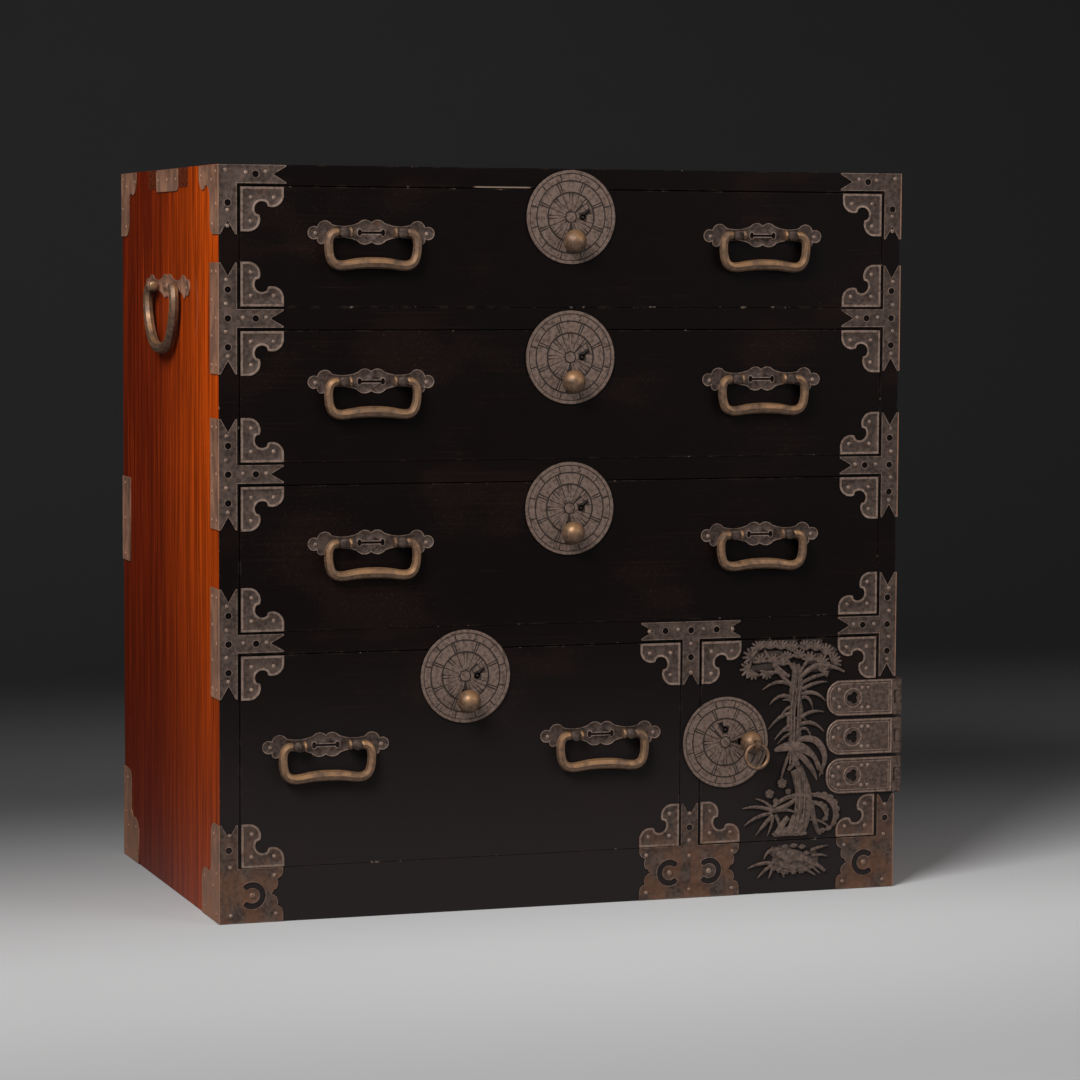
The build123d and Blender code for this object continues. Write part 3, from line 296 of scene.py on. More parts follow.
def case_lacquer(name, wood, low, high, along):
    """Wiped red-brown lacquer over strong grain that runs along Z or X; the front edges are black."""
    finish = Finish(name)
    along_z = ((70, 70, 1.6), (330, 330, 5), (1200, 1200, 22))
    broad, fine, pores = (cells if along == "Z" else cells[::-1] for cells in along_z)
    bands = finish.noise(broad, detail=3, distortion=0.6)
    lines = finish.noise(fine, detail=4, roughness=0.65, shift=4.1)
    dashes = finish.noise(pores, detail=2, shift=8.3)
    # depth runs from the front of the sides to their back; the colours mixed by it paint the light falling
    # off towards the back
    depth = finish.y.step(low.y - 0.06, 0.12)
    ground = finish.mix(depth, tuple(wood.case_front_painted_light), tuple(wood.case_back_painted_shade))
    darker = finish.mix(depth, shade(0.5, wood.case_front_painted_light), shade(0.5, wood.case_back_painted_shade))
    deep = finish.mix(bands.step(0.4, 0.6) * 0.8, ground, darker)
    lined = finish.mix(lines.step(0.48, 0.64) * 0.76, deep, tuple(wood.case_grain))
    gleam = lines.step(0.47, 0.34) * (1.0 - depth * 0.6) * 0.55
    bright = finish.mix(gleam, lined, shade(1.5, wood.case_front_painted_light))
    pored = finish.mix(dashes.step(0.6, 0.72) * 0.5, bright, shade(0.5, wood.case_grain))
    low_dirt = finish.z.step(0.16, 0.0) * finish.noise((16, 16, 16), detail=4).step(0.3, 0.75)
    # aged darkens the sides towards the bottom: painted shade of the light falling from above; low_dirt adds
    # patchy dirt near the floor
    aged = finish.z.step(0.68, 0.05) * 0.58
    soiled_and_painted_shade = finish.mix(aged.most(low_dirt * 0.75), pored, shade(0.9, wood.case_grain))
    if along == "Z":
        # The swinging bail has scratched an arc about its pins
        forward, up, reach = 95 * MM, 690 * MM, 54 * MM
        across, rise = finish.y + forward, finish.z - up
        swing = (across * across + rise * rise).root()
        scratch = (swing - reach).size().step(2.2 * MM, 0.6 * MM) * finish.y.step(-0.13, -0.145)
        soiled_and_painted_shade = finish.mix(scratch * 0.35, soiled_and_painted_shade, tuple(wood.worn_edge))
    front = finish.y.step(low.y + 1.2 * MM, low.y + 0.6 * MM)
    black = lacquer_colour(finish, wood, low, high)[0]
    pith = finish.noise((240, 240, 240), detail=3).step(0.3, 0.7)
    end_grain = finish.mix(pith, (0.12, 0.03, 0.012, 1.0), tuple(wood.case_grain))
    if along == "X":
        finger = finish.x.size().step(abs(low.x) - 1.2 * MM, abs(low.x) - 0.6 * MM)
        soiled_and_painted_shade = finish.mix(finger, soiled_and_painted_shade, end_grain)
        # One long chip along the lower front edge of the top board
        left, half_length = 82 * MM, 36 * MM
        scrape = (finish.x + left).size().step(half_length, half_length - 6 * MM)
        scrape = scrape * (finish.z - low.z).step(2.2 * MM, 1.2 * MM)
        black = finish.mix(scrape * lines.step(0.3, 0.42), black, tuple(wood.worn_edge))
    return finish.coat(
        Base_Color=finish.mix(front, soiled_and_painted_shade, black),
        Roughness=0.34 + lines * 0.2,
        Specular_IOR_Level=0.06,
        Normal=finish.bump(lines * 0.5 + dashes * 0.3 + bands, 0.35 * MM, 0.6),
    )


def bare_wood(name, light, dark, along):
    """Unfinished wood with soft grain along X, Y or Z."""
    finish = Finish(name)
    scale = [110, 110, 110]
    scale["XYZ".index(along)] = 3
    rings = finish.noise(scale, detail=3, distortion=1.2)
    fibres = finish.noise([cells * 6 for cells in scale], detail=2, shift=2.9)
    aged = finish.noise((5, 5, 5), detail=3, shift=6.1)
    base = finish.mix(rings.step(0.42, 0.68) * 0.7, light, dark)
    base = finish.mix(fibres.step(0.5, 0.75) * 0.35, base, shade(0.8, dark))
    return finish.coat(
        Base_Color=finish.mix(aged.step(0.45, 0.8) * 0.35, base, shade(0.6, dark)),
        Roughness=0.62 + fibres * 0.2,
        Specular_IOR_Level=0.3,
        Normal=finish.bump(rings + fibres * 0.5, 0.3 * MM, 0.6),
    )


def iron_ground(finish, iron, base, dark):
    """The hammered and rusted ground that all the irons share: its colour and its height."""
    mottle = finish.noise((210, 210, 210), detail=4, roughness=0.65)
    blotch = finish.noise((38, 38, 38), detail=3, shift=4.4)
    specks = finish.noise((620, 620, 620), detail=2, shift=8.8)
    ground = finish.mix(mottle.step(0.34, 0.66), dark, base)
    ground = finish.mix(blotch.step(0.52, 0.72) * 0.42, ground, shade(1.25, base))
    rusty = (specks.step(0.6, 0.7) * 0.5).most(blotch.step(0.36, 0.2) * 0.5)
    ground = finish.mix(rusty, ground, shade(0.5, iron.rust))
    marks = finish.dimples(170.0)
    height = marks * 0.5 + mottle * 0.35 + specks * 0.12
    return ground, height, mottle


def sheet_iron(name, iron, lighter=1.0, rusty_sides=True):
    """Hammered sheet iron with lighter rims, for rubbed metal and painted edge highlight; leaves that lie on
    the sides of the chest may be rustier.
    """
    finish = Finish(name)
    base, dark = shade(lighter, iron.sheet), shade(lighter, iron.sheet_dark)
    ground, height, mottle = iron_ground(finish, iron, base, dark)
    # Faces marked worn are painted lighter: rubbed metal and painted edge highlight
    worn = finish.node("ShaderNodeAttribute", {"attribute_name": "worn"}, out="Fac")
    rubbed = worn * (0.35 + mottle.step(0.3, 0.62) * 0.6)
    ground = finish.mix(rubbed, ground, shade(lighter, iron.worn))
    on_side = finish.x.size().step(SIDE - 0.1 * MM, SIDE + 0.2 * MM)
    patches = finish.noise((50, 50, 26), detail=4, shift=2.4).step(0.38, 0.62)
    if rusty_sides:
        ground = finish.mix(on_side * (0.4 + patches * 0.45), ground, tuple(iron.side_rust))
    low_rust = finish.z.step(0.13, 0.02) * patches
    ground = finish.mix(low_rust * 0.55, ground, shade(0.5, iron.rust))
    return finish.coat(
        Base_Color=ground,
        Metallic=0.35 + worn * 0.25,
        Roughness=0.62 - rubbed * 0.16 + mottle * 0.1,
        Specular_IOR_Level=0.4,
        Normal=finish.bump(height, 0.45 * MM, 0.55),
    )


def forged_iron(name, iron):
    """Forged iron whose outward and upper faces are painted lighter: rubbed metal and a painted highlight
    from the light above.
    """
    finish = Finish(name)
    ground, height, mottle = iron_ground(finish, iron, tuple(iron.forged), shade(0.45, iron.forged))
    facing = finish.node("ShaderNodeNewGeometry", out="Normal")
    up = finish.node("ShaderNodeSeparateXYZ", values={0: facing}, out="Z")
    outward = finish.twin(up, "Y") * -1.0
    streak = finish.noise((60, 60, 60), detail=3, shift=1.3)
    # Upward and outward faces painted lighter: painted highlight from the light above, with rubbed metal in
    # streaks
    rubbed = (outward * 0.5 + up * 0.6).step(0.15, 0.95) * streak.step(0.3, 0.66)
    ground = finish.mix(rubbed * 0.8, ground, tuple(iron.forged_rubbed_and_highlight))
    return finish.coat(
        Base_Color=ground,
        Metallic=0.3 + rubbed * 0.35,
        Roughness=0.47 + mottle * 0.14 - rubbed * 0.13,
        Specular_IOR_Level=0.45,
        Normal=finish.bump(height, 0.4 * MM, 0.5),
    )


def relief_iron(name, iron, back, front, lighter=1.0, rubbed=0.85):
    """Cut and chased iron, dark in its hollows and lighter on its crests, for rubbed metal and painted
    highlight, between two depths.
    """
    finish = Finish(name)
    base, dark = shade(lighter, iron.sheet), shade(lighter, iron.sheet_dark)
    ground, height, mottle = iron_ground(finish, iron, base, dark)
    crest = finish.y.step(back, front)
    # Crests painted lighter: rubbed metal and painted highlight on the raised parts
    ground = finish.mix(crest * (0.2 + mottle.step(0.3, 0.6) * 0.5) * rubbed, ground, tuple(iron.worn))
    ground = finish.mix(crest.step(0.5, 0.0) * 0.85, ground, shade(0.5, iron.sheet_dark))
    return finish.coat(
        Base_Color=ground,
        Metallic=0.35,
        Roughness=0.55 + mottle * 0.12,
        Specular_IOR_Level=0.4,
        Normal=finish.bump(height, 0.35 * MM, 0.5),
    )


def stage_finish(name, front_colour, back_colour):
    """Matt paper, palest right in front of the chest, that grows darker towards the backdrop, to the left and
    nearest the camera: painted falloff of light.
    """
    finish = Finish(name)
    grain = finish.noise((9, 9, 9), detail=3)
    # Painted falloff of light on the floor: darker towards the backdrop, painted shade to the left and
    # nearest the camera
    distance = finish.y.step(-0.5, 0.8) * 0.88 + finish.y.step(0.8, 2.2) * 0.12
    painted_shade_left = finish.x.step(0.3, -0.9) * 0.25
    near = finish.y.step(-0.4, -1.2) * 0.35
    base = finish.mix(near, finish.mix(painted_shade_left, front_colour, back_colour), back_colour)
    base = finish.mix(distance, base, back_colour)
    return finish.coat(Base_Color=base, Roughness=0.75 + grain * 0.1, Specular_IOR_Level=0.2)


def dress(name, material):
    """Gives a node of the frame its finish."""
    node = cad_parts[name]
    if not node.material_slots:
        node.data.materials.append(material)
    for place in node.material_slots:
        place.material = material
    return node


# ---- Making pieces ----
def add_piece(name, shape, material, body, instead_of=()):
    """A finished piece of the chest from a bmesh, riding on its body."""
    bmesh.ops.recalc_face_normals(shape, faces=shape.faces)
    mesh = bpy.data.meshes.new(name)
    shape.to_mesh(mesh)
    shape.free()
    return place_mesh(name, mesh, material, body, instead_of)


def place_mesh(name, mesh, material, body, instead_of=()):
    """Puts a mesh in the scene with soft faces and sharp folds, and ties it to its body."""
    mesh.shade_smooth()
    mesh.set_sharp_from_angle(angle=radians(38))
    mesh.materials.clear()
    mesh.materials.append(material)
    piece = bpy.data.objects.new(name, mesh)
    bpy.context.scene.collection.objects.link(piece)
    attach(piece, body)
    if instead_of:
        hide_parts(*instead_of)
    return piece


def on_front(x, z, y):
    """A place on the front: its x is the chest's X, its y points up and its z points out."""
    return Matrix.Translation((x, y, z)) @ Matrix.Rotation(pi / 2, 4, "X")


def on_side(side, y, z, x):
    """A place on a side, seen from outside: its y points up and its z points out."""
    return Matrix(((0, 0, side, side * x), (side, 0, 0, y), (0, 1, 0, z), (0, 0, 0, 1)))


def bail_pins(drawer, hand):
    """The middle between the pins of a drawer's bail, along X and Z."""
    low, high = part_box(f"{drawer}_bail_{hand}")
    return (low.x + high.x) / 2, low.z + BAIL_DROP


def add_nail(shape, place, radius, height):
    """A domed nail head at a place, sunk to its middle."""
    spread = place @ Matrix.Diagonal((radius, radius, height, 1.0))
    bmesh.ops.create_uvsphere(shape, u_segments=9, v_segments=6, radius=1.0, matrix=spread)


def add_panel(shape, faces, height, slope):
    """Raises flat faces into a closed panel with sloping sides."""
    lifted = bmesh.ops.extrude_face_region(shape, geom=faces, use_keep_orig=True)["geom"]
    tops = [part for part in lifted if isinstance(part, bmesh.types.BMFace)]
    bmesh.ops.inset_region(shape, faces=tops, thickness=slope, depth=height, use_even_offset=True)


def add_sector(shape, place, inner, outer, first, last, height, slope=0.3 * MM):
    """A raised panel between two radii and two angles in degrees."""
    sector = bmesh.new()
    turn = Matrix.Rotation(radians(first), 4, "Z")
    ends = [sector.verts.new(turn @ Vector((radius, 0, 0))) for radius in (inner, outer)]
    side = sector.edges.new(ends)
    angle = radians(last - first)
    steps = max(2, ceil(angle / radians(6)))
    bmesh.ops.spin(sector, geom=ends + [side], cent=(0, 0, 0), axis=(0, 0, 1), angle=angle, steps=steps)
    bmesh.ops.recalc_face_normals(sector, faces=sector.faces)
    if sector.faces[:][0].normal.z < 0:
        bmesh.ops.reverse_faces(sector, faces=sector.faces)
    add_panel(sector, sector.faces[:], height, slope)
    bmesh.ops.remove_doubles(sector, verts=sector.verts, dist=0.001 * MM)
    join(shape, sector, place)


def add_bar(shape, place, start, end, width, height):
    """A narrow raised bar between two points of a place."""
    run = end - start
    bar = bmesh.new()
    bmesh.ops.create_cube(bar, size=1.0)
    bmesh.ops.bevel(
        bar, geom=bar.edges[:], offset=0.18, segments=1, profile=0.5, affect="EDGES", material=-1,
        clamp_overlap=True,
    )
    turn = Matrix.Rotation(run.angle_signed(Vector((1, 0))), 4, "Z")
    middle = Matrix.Translation((*((start + end) / 2), 0))
    spread = Matrix.Diagonal((run.length, width, 2 * height, 1.0))
    join(shape, bar, place @ middle @ turn @ spread)


def join(shape, part, place):
    """Moves a part to its place and adds it to a shape."""
    bmesh.ops.transform(part, matrix=place, verts=part.verts)
    mesh = bpy.data.meshes.new("part")
    part.to_mesh(mesh)
    part.free()
    shape.from_mesh(mesh)
    bpy.data.meshes.remove(mesh)


def rods(strokes, sides=3, smoothness=5, closed=False):
    """A mesh of round rods; each stroke is a row of points with a radius for each."""
    curve = bpy.data.curves.new("strokes", "CURVE")
    curve.dimensions = "3D"
    curve.bevel_depth = 1.0
    curve.bevel_resolution = sides
    curve.resolution_u = smoothness
    curve.use_fill_caps = not closed
    for stroke in strokes:
        spline = curve.splines.new("NURBS")
        spline.points.add(len(stroke) - 1)
        for point, (place, radius) in zip(spline.points, stroke):
            point.co = (*place, 1.0)
            point.radius = radius
        spline.order_u = 4 if len(stroke) > 3 else 3
        spline.use_endpoint_u = not closed
        spline.use_cyclic_u = closed
    holder = bpy.data.objects.new("strokes", curve)
    bpy.context.scene.collection.objects.link(holder)
    bpy.context.view_layer.update()
    mesh = bpy.data.meshes.new_from_object(holder)
    bpy.data.objects.remove(holder)
    bpy.data.curves.remove(curve)
    return mesh


def merged_copy(node):
    """A copy of a node of the frame whose loose triangles are joined."""
    shape = bmesh.new()
    shape.from_mesh(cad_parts[node].data)
    bmesh.ops.remove_doubles(shape, verts=shape.verts, dist=0.002 * MM)
    bmesh.ops.dissolve_degenerate(shape, edges=shape.edges, dist=0.001 * MM)
    shape.faces.layers.float.new("worn")
    return shape


def faces_at(shape, facing, level, inside=None):
    """The faces that look one way and lie at one level along it, in metres."""
    found = []
    for face in shape.faces:
        middle = face.calc_center_median()
        if face.normal.dot(facing) > 0.99 and abs(middle.dot(facing) - level) < 0.05 * MM:
            if inside is None or inside(middle):
                found.append(face)
    return found


def raise_rim(shape, faces, rim, depth, slope=0.5 * MM, worn=1.0, even=True):
    """Sinks the middle of flat faces, which leaves a raised rim along every edge, marked worn: painted
    lighter for rubbed metal and edge highlight.
    """
    rubbed = shape.faces.layers.float["worn"]
    edge = bmesh.ops.inset_region(shape, faces=faces, thickness=rim, use_even_offset=even)["faces"]
    for face in edge:
        face[rubbed] = worn
    bmesh.ops.inset_region(shape, faces=faces, thickness=slope, depth=-depth, use_even_offset=even)


def rub(shape, amount):
    """Marks every face of a shape as worn: painted lighter for rubbed metal and highlight."""
    rubbed = shape.faces.layers.float.new("worn")
    for face in shape.faces:
        face[rubbed] = amount


def widen(shape, x, z, wider, taller, on_rim):
    """Stretches a hole about its middle; on_rim tells which offsets from it are on the hole's rim."""
    there, back = Matrix.Translation((x, 0, z)), Matrix.Translation((-x, 0, -z))
    rim = [vert for vert in shape.verts if on_rim(vert.co.xz - Vector((x, z)))]
    bmesh.ops.transform(shape, matrix=there @ Matrix.Diagonal((wider, 1, taller, 1)) @ back, verts=rim)


def soften(node, width):
    """Rounds the hard edges of a node of the frame, which keeps its own mesh."""
    weld = node.modifiers.new("Join", "WELD")
    weld.merge_threshold = 0.002 * MM
    whole = node.modifiers.new("Whole faces", "DECIMATE")
    whole.decimate_type = "DISSOLVE"
    whole.angle_limit = radians(0.5)
    edge = node.modifiers.new("Soft edges", "BEVEL")
    edge.width = width
    edge.segments = 2
    edge.limit_method = "ANGLE"
    edge.angle_limit = radians(40)
    node.modifiers.new("Flat faces", "WEIGHTED_NORMAL")


# ---- Operators ----
class CHEST_OT_boards(Operator):
    """Lacquers the fronts and the case and leaves the inside bare"""

    bl_idname = "chest.boards"
    bl_label = "Boards"

    def execute(self, context):
        wood = context.scene.chest_wood
        for drawer in DRAWERS:
            front = f"{drawer}_front"
            soften(dress(front, black_lacquer(f"{front}_lacquer", wood, *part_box(front))), wood.edge)
        for name in ("door_panel", "drawer_rails", "door_post", "base_frame"):
            soften(dress(name, black_lacquer(f"{name}_lacquer", wood, *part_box(name))), wood.edge)
        for name, along in (("side_panel_left", "Z"), ("side_panel_right", "Z"), ("top_board", "X")):
            soften(dress(name, case_lacquer(f"{name}_lacquer", wood, *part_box(name), along)), wood.edge)
        light, dark = tuple(wood.paulownia), tuple(wood.paulownia_grain)
        across = bare_wood("paulownia_across", light, dark, "X")
        deep = bare_wood("paulownia_deep", light, dark, "Y")
        for name in ("back_boards", "dust_boards", "bottom_board", "inner_shelves"):
            dress(name, across)
        for name in ["partition_boards"] + [f"{drawer}_box" for drawer in DRAWERS]:
            dress(name, deep)
        red = bare_wood("small_drawer_lacquer", tuple(wood.small_drawer), shade(0.35, wood.small_drawer), "X")
        for number in (1, 2, 3):
            dress(f"inner_drawer_{number}", red)
        return {"FINISHED"}


# Middles of the pierced crescents and of the nail bosses in them, in millimetres
CRESCENTS, CRESCENT_HEIGHT = (-375.2, 127, 177, 375.2), 31
BOSSES, BOSS_HEIGHT = (-375.2, 127.3, 176.7, 375.2), 30.8

# A base iron's lobed edge: heights, and how deep the edge is cut back at each, in millimetres
LOBES = (
    (0, 0), (7, 0), (12, 0.3), (16, 1.8), (17.6, 4.6), (18.8, 7.2), (21, 6.2), (24, 6.0), (28, 7.6),
    (31, 11.0), (32.6, 14.6), (33.2, 14.2), (35, 10.0), (38, 7.2), (42, 6.0), (46, 6.2), (49, 7.2),
    (50.2, 5.0), (52, 2.0), (55, 0.3), (60, 0), (63, 0.6),
)


class CHEST_OT_carcass_irons(Operator):
    """Cuts the carcass irons: corner, tee, base, post and rear irons with edges painted lighter for rubbed
    metal and edge highlight
    """

    bl_idname = "chest.carcass_irons"
    bl_label = "Carcass irons"

    def execute(self, context):
        sheet = sheet_iron("carcass_sheet_iron", context.scene.chest_iron)
        holes = self.holes(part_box("side_panel_left")[1].z)
        leaves = (
            (FRONT, FRAME_FRONT + IRON), (Vector((1, 0, 0)), SIDE + IRON), (Vector((-1, 0, 0)), SIDE + IRON),
        )
        shoe = 73 * MM
        half_post = 62.5
        lobed_edges = (
            (shoe - SIDE, -1), ((POST - half_post) * MM, 1), ((POST + half_post) * MM, -1), (SIDE - shoe, 1),
        )
        for name, lobed in (
            ("carcass_corner_irons", False), ("carcass_tee_irons", False), ("base_shoe_irons", True),
            ("post_irons", True), ("side_and_rear_irons", False),
        ):
            shape = merged_copy(name)
            for x, z in holes:
                widen(shape, x, z, 1.25, 1.25, lambda away: away.length < 3.3 * MM)
            if lobed:
                for x in CRESCENTS:
                    self.open_crescent(shape, x * MM, CRESCENT_HEIGHT * MM)
                for edge, inward in lobed_edges:
                    self.scallop(shape, edge, inward)
            for facing, level in leaves:
                faces = faces_at(shape, facing, level)
                if faces:
                    rim, depth, slope = 0.7 * MM, 0.12 * MM, 0.25 * MM
                    raise_rim(shape, faces, rim, depth, slope, worn=0.8, even=not lobed)
            add_piece(f"{name}_cut", shape, sheet, "carcass", [name])
        return {"FINISHED"}

    def holes(self, top):
        """The middles of the round holes in the irons' front leaves."""
        post = POST * MM
        foot = 83.4 * MM
        apart = 32
        spots = [(post + across * MM, RAILS[-1] * MM) for across in (-apart, 0, apart)]
        spots += [(post, 284.25 * MM), (post, foot)]
        for side in (-1, 1):
            edge = side * (SIDE - 10.25 * MM)
            inner = side * (SIDE - 42 * MM)
            spots += [(edge, top - 42.4 * MM), (inner, top - 10.65 * MM), (edge, foot)]
            for rail in RAILS:
                spots += [(edge, (rail + lift) * MM) for lift in (-apart, 0, apart)] + [(inner, rail * MM)]
        return spots

    def open_crescent(self, shape, x, z):
        """Widens a pierced crescent, whose middle line is an arc with a radius of 12 mm."""
        for vert in shape.verts:
            away = vert.co.xz - Vector((x, z))
            if 5 * MM < away.length < 16 * MM:
                shift = away.normalized() * (0.7 if away.length > 12 * MM else -0.5) * MM
                vert.co.x += shift.x
                vert.co.z += shift.y

    def scallop(self, shape, edge, inward):
        """Recuts an edge of a base iron in four small lobes with a cusp between the middle two."""
        seam, reach, top, step = 18 * MM, 11.2 * MM, 62.2 * MM, 0.8 * MM

        def inside(vert, limit):
            return -0.1 * MM < (vert.co.x - edge) * inward < limit

        def on_edge(vert):
            return inside(vert, reach) and vert.co.z < top

        everything = shape.verts[:] + shape.edges[:] + shape.faces[:]
        cut = (edge + inward * seam, 0, 0)
        bmesh.ops.bisect_plane(shape, geom=everything, dist=0.001 * MM, plane_co=cut, plane_no=(1, 0, 0))
        for facing in (-1, 1):
            strip = [
                face for face in shape.faces
                if facing * face.normal.y > 0.99
                and all(inside(vert, seam + 0.01 * MM) for vert in face.verts)
            ]
            if strip:
                bmesh.ops.dissolve_faces(shape, faces=strip)
        for halving in range(5):
            tall = [
                side for side in shape.edges
                if all(on_edge(vert) for vert in side.verts)
                and abs(side.verts[0].co.z - side.verts[1].co.z) > step
            ]
            for side in tall:
                bmesh.utils.edge_split(side, side.verts[0], 0.5)
        for vert in shape.verts:
            if on_edge(vert):
                height = vert.co.z / MM
                below = sum(lobe[0] <= height for lobe in LOBES[1:-1])
                (low, start), (high, end) = LOBES[below:below + 2]
                vert.co.x = edge + inward * (start + (end - start) * (height - low) / (high - low)) * MM
        bmesh.ops.remove_doubles(shape, verts=shape.verts, dist=0.05 * MM)
        bmesh.ops.triangulate(shape, faces=[face for face in shape.faces if len(face.verts) > 4])


class CHEST_OT_drawer_irons(Operator):
    """Cuts the drawers' and the door's corner irons and the pierced handle plates"""

    bl_idname = "chest.drawer_irons"
    bl_label = "Drawer irons"

    def execute(self, context):
        iron = context.scene.chest_iron
        sheet = sheet_iron("drawer_sheet_iron", iron)
        reach = 50.5 * MM
        bodies = {f"{drawer}_irons": drawer for drawer in DRAWERS}
        for node, body in {**bodies, "door_corner_irons": "door"}.items():
            shape = merged_copy(node)
            low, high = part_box(node)

            def in_corner(middle):
                near_side = min(middle.x - low.x, high.x - middle.x) < reach
                near_end = min(middle.z - low.z, high.z - middle.z) < reach
                return near_side and near_end

            def in_slot(away):
                return abs(away.x) < 19 * MM and abs(away.y) < 3.2 * MM

            corners = faces_at(shape, FRONT, BOARD_FRONT + IRON, in_corner)
            raise_rim(shape, corners, iron.rim, iron.panel_depth, slope=0.6 * MM)
            if body != "door":
                for hand in HANDS:
                    x, z = bail_pins(body, hand)
                    widen(shape, x, z, 1.05, 1.6, in_slot)
            plates = faces_at(shape, FRONT, BOARD_FRONT + IRON, lambda middle: not in_corner(middle))
            if plates:
                raise_rim(shape, plates, rim=1.0 * MM, depth=0.38 * MM, slope=0.4 * MM)
            add_piece(f"{node}_cut", shape, sheet, body, [node])
        return {"FINISHED"}


class CHEST_OT_side_plates(Operator):
    """Cuts the plates of the side handles"""

    bl_idname = "chest.side_plates"
    bl_label = "Side handle plates"

    def execute(self, context):
        shape = merged_copy("side_handle_plates")
        for side in (-1, 1):
            faces = faces_at(shape, Vector((side, 0, 0)), SIDE + IRON)
            raise_rim(shape, faces, rim=1.7 * MM, depth=0.4 * MM)
        sheet = sheet_iron("side_plate_iron", context.scene.chest_iron, lighter=1.3)
        add_piece("side_handle_plates_cut", shape, sheet, "carcass", ["side_handle_plates"])
        return {"FINISHED"}


class CHEST_OT_hinges(Operator):
    """Borders the door's hinge straps with a raised double rim and finishes leaves and pins"""

    bl_idname = "chest.hinges"
    bl_label = "Hinges"

    def execute(self, context):
        level = BOARD_FRONT + 2.0 * MM
        sheet = sheet_iron("hinge_iron", context.scene.chest_iron, lighter=1.35, rusty_sides=False)
        for name in ("door_hinge_straps", "door_hinge_leaves", "door_hinge_pins"):
            soften(dress(name, sheet), 0.35 * MM)
        low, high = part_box("door_hinge_straps")
        half = STRAP_HEIGHT / 2
        shape = bmesh.new()
        trefoil, inner, outer, rise = 358.5 * MM, 10.2 * MM, 11.8 * MM, 0.45 * MM
        for middle in (low.z + half, (low.z + high.z) / 2, high.z - half):
            place = on_front(0, middle, -level)
            self.border(shape, low.x, place, margin=0.3 * MM, width=2.4 * MM, rise=0.9 * MM)
            self.border(shape, low.x, place, margin=4.0 * MM, width=1.2 * MM, rise=rise)
            for first in (0, 180):
                about = on_front(trefoil, middle, -level)
                add_sector(shape, about, inner, outer, first, first + 180, rise)
        rub(shape, 0.6)
        add_piece("door_hinge_borders", shape, sheet, "door")
        return {"FINISHED"}

    def border(self, shape, left, place, margin, width, rise):
        """A raised border along a strap's outline: its margin, its width and how far it stands out."""
        right = SIDE - 2.5 * MM
        half = STRAP_HEIGHT / 2
        outline = bmesh.new()
        ends = ((left, -half), (right, -half), (right, half), (left, half))
        corners = [outline.verts.new((x, y, 0)) for x, y in ends]
        outline.faces.new(corners)
        bmesh.ops.bevel(
            outline, geom=[corners[0], corners[3]], offset=0.42 * STRAP_HEIGHT, segments=9, profile=0.5,
            affect="VERTICES", material=-1,
        )
        panel = outline.faces[:]
        even = {"faces": panel, "use_even_offset": True, "use_boundary": True}
        outer = bmesh.ops.inset_region(outline, thickness=margin, **even)
        bmesh.ops.delete(outline, geom=outer["faces"], context="FACES")
        strip = bmesh.ops.inset_region(outline, thickness=width, **even)
        bmesh.ops.delete(outline, geom=panel, context="FACES_ONLY")
        add_panel(outline, strip["faces"], rise, 0.3 * width)
        join(shape, outline, place)


# Half of a bail, as x, z and radius in millimetres: its pin, with x from the pin's middle, and then the
# arms of the two kinds, with x from the bail's middle
BAIL_PIN = (
    (-10.2, 0, 1.5), (-10, 0, 5.4), (-7.8, 0, 6.4), (-5.8, 0, 5.4), (-5.6, 0, 2.9), (0, 0, 2.9),
    (5.6, 0, 2.9),
)
DRAWER_BAIL = (
    (40.2, 0, 4.6), (44, 0.2, 4.9), (48.6, -1.5, 5.1), (52, -8, 5.2), (51.8, -18, 5.2), (50.6, -27, 5.3),
    (47, -34.5, 5.4), (39, -37.5, 5.5), (28, -36, 5.8), (14, -33.6, 6.3),
)
SIDE_BAIL = (
    (53.6, 0, 4.9), (58, 0, 5.3), (64.5, -2, 5.8), (69, -12, 6.0), (68.5, -27, 6.1), (61, -44, 6.3),
    (49, -58, 6.4), (35, -68.5, 6.5), (13, -72.5, 6.5),
)


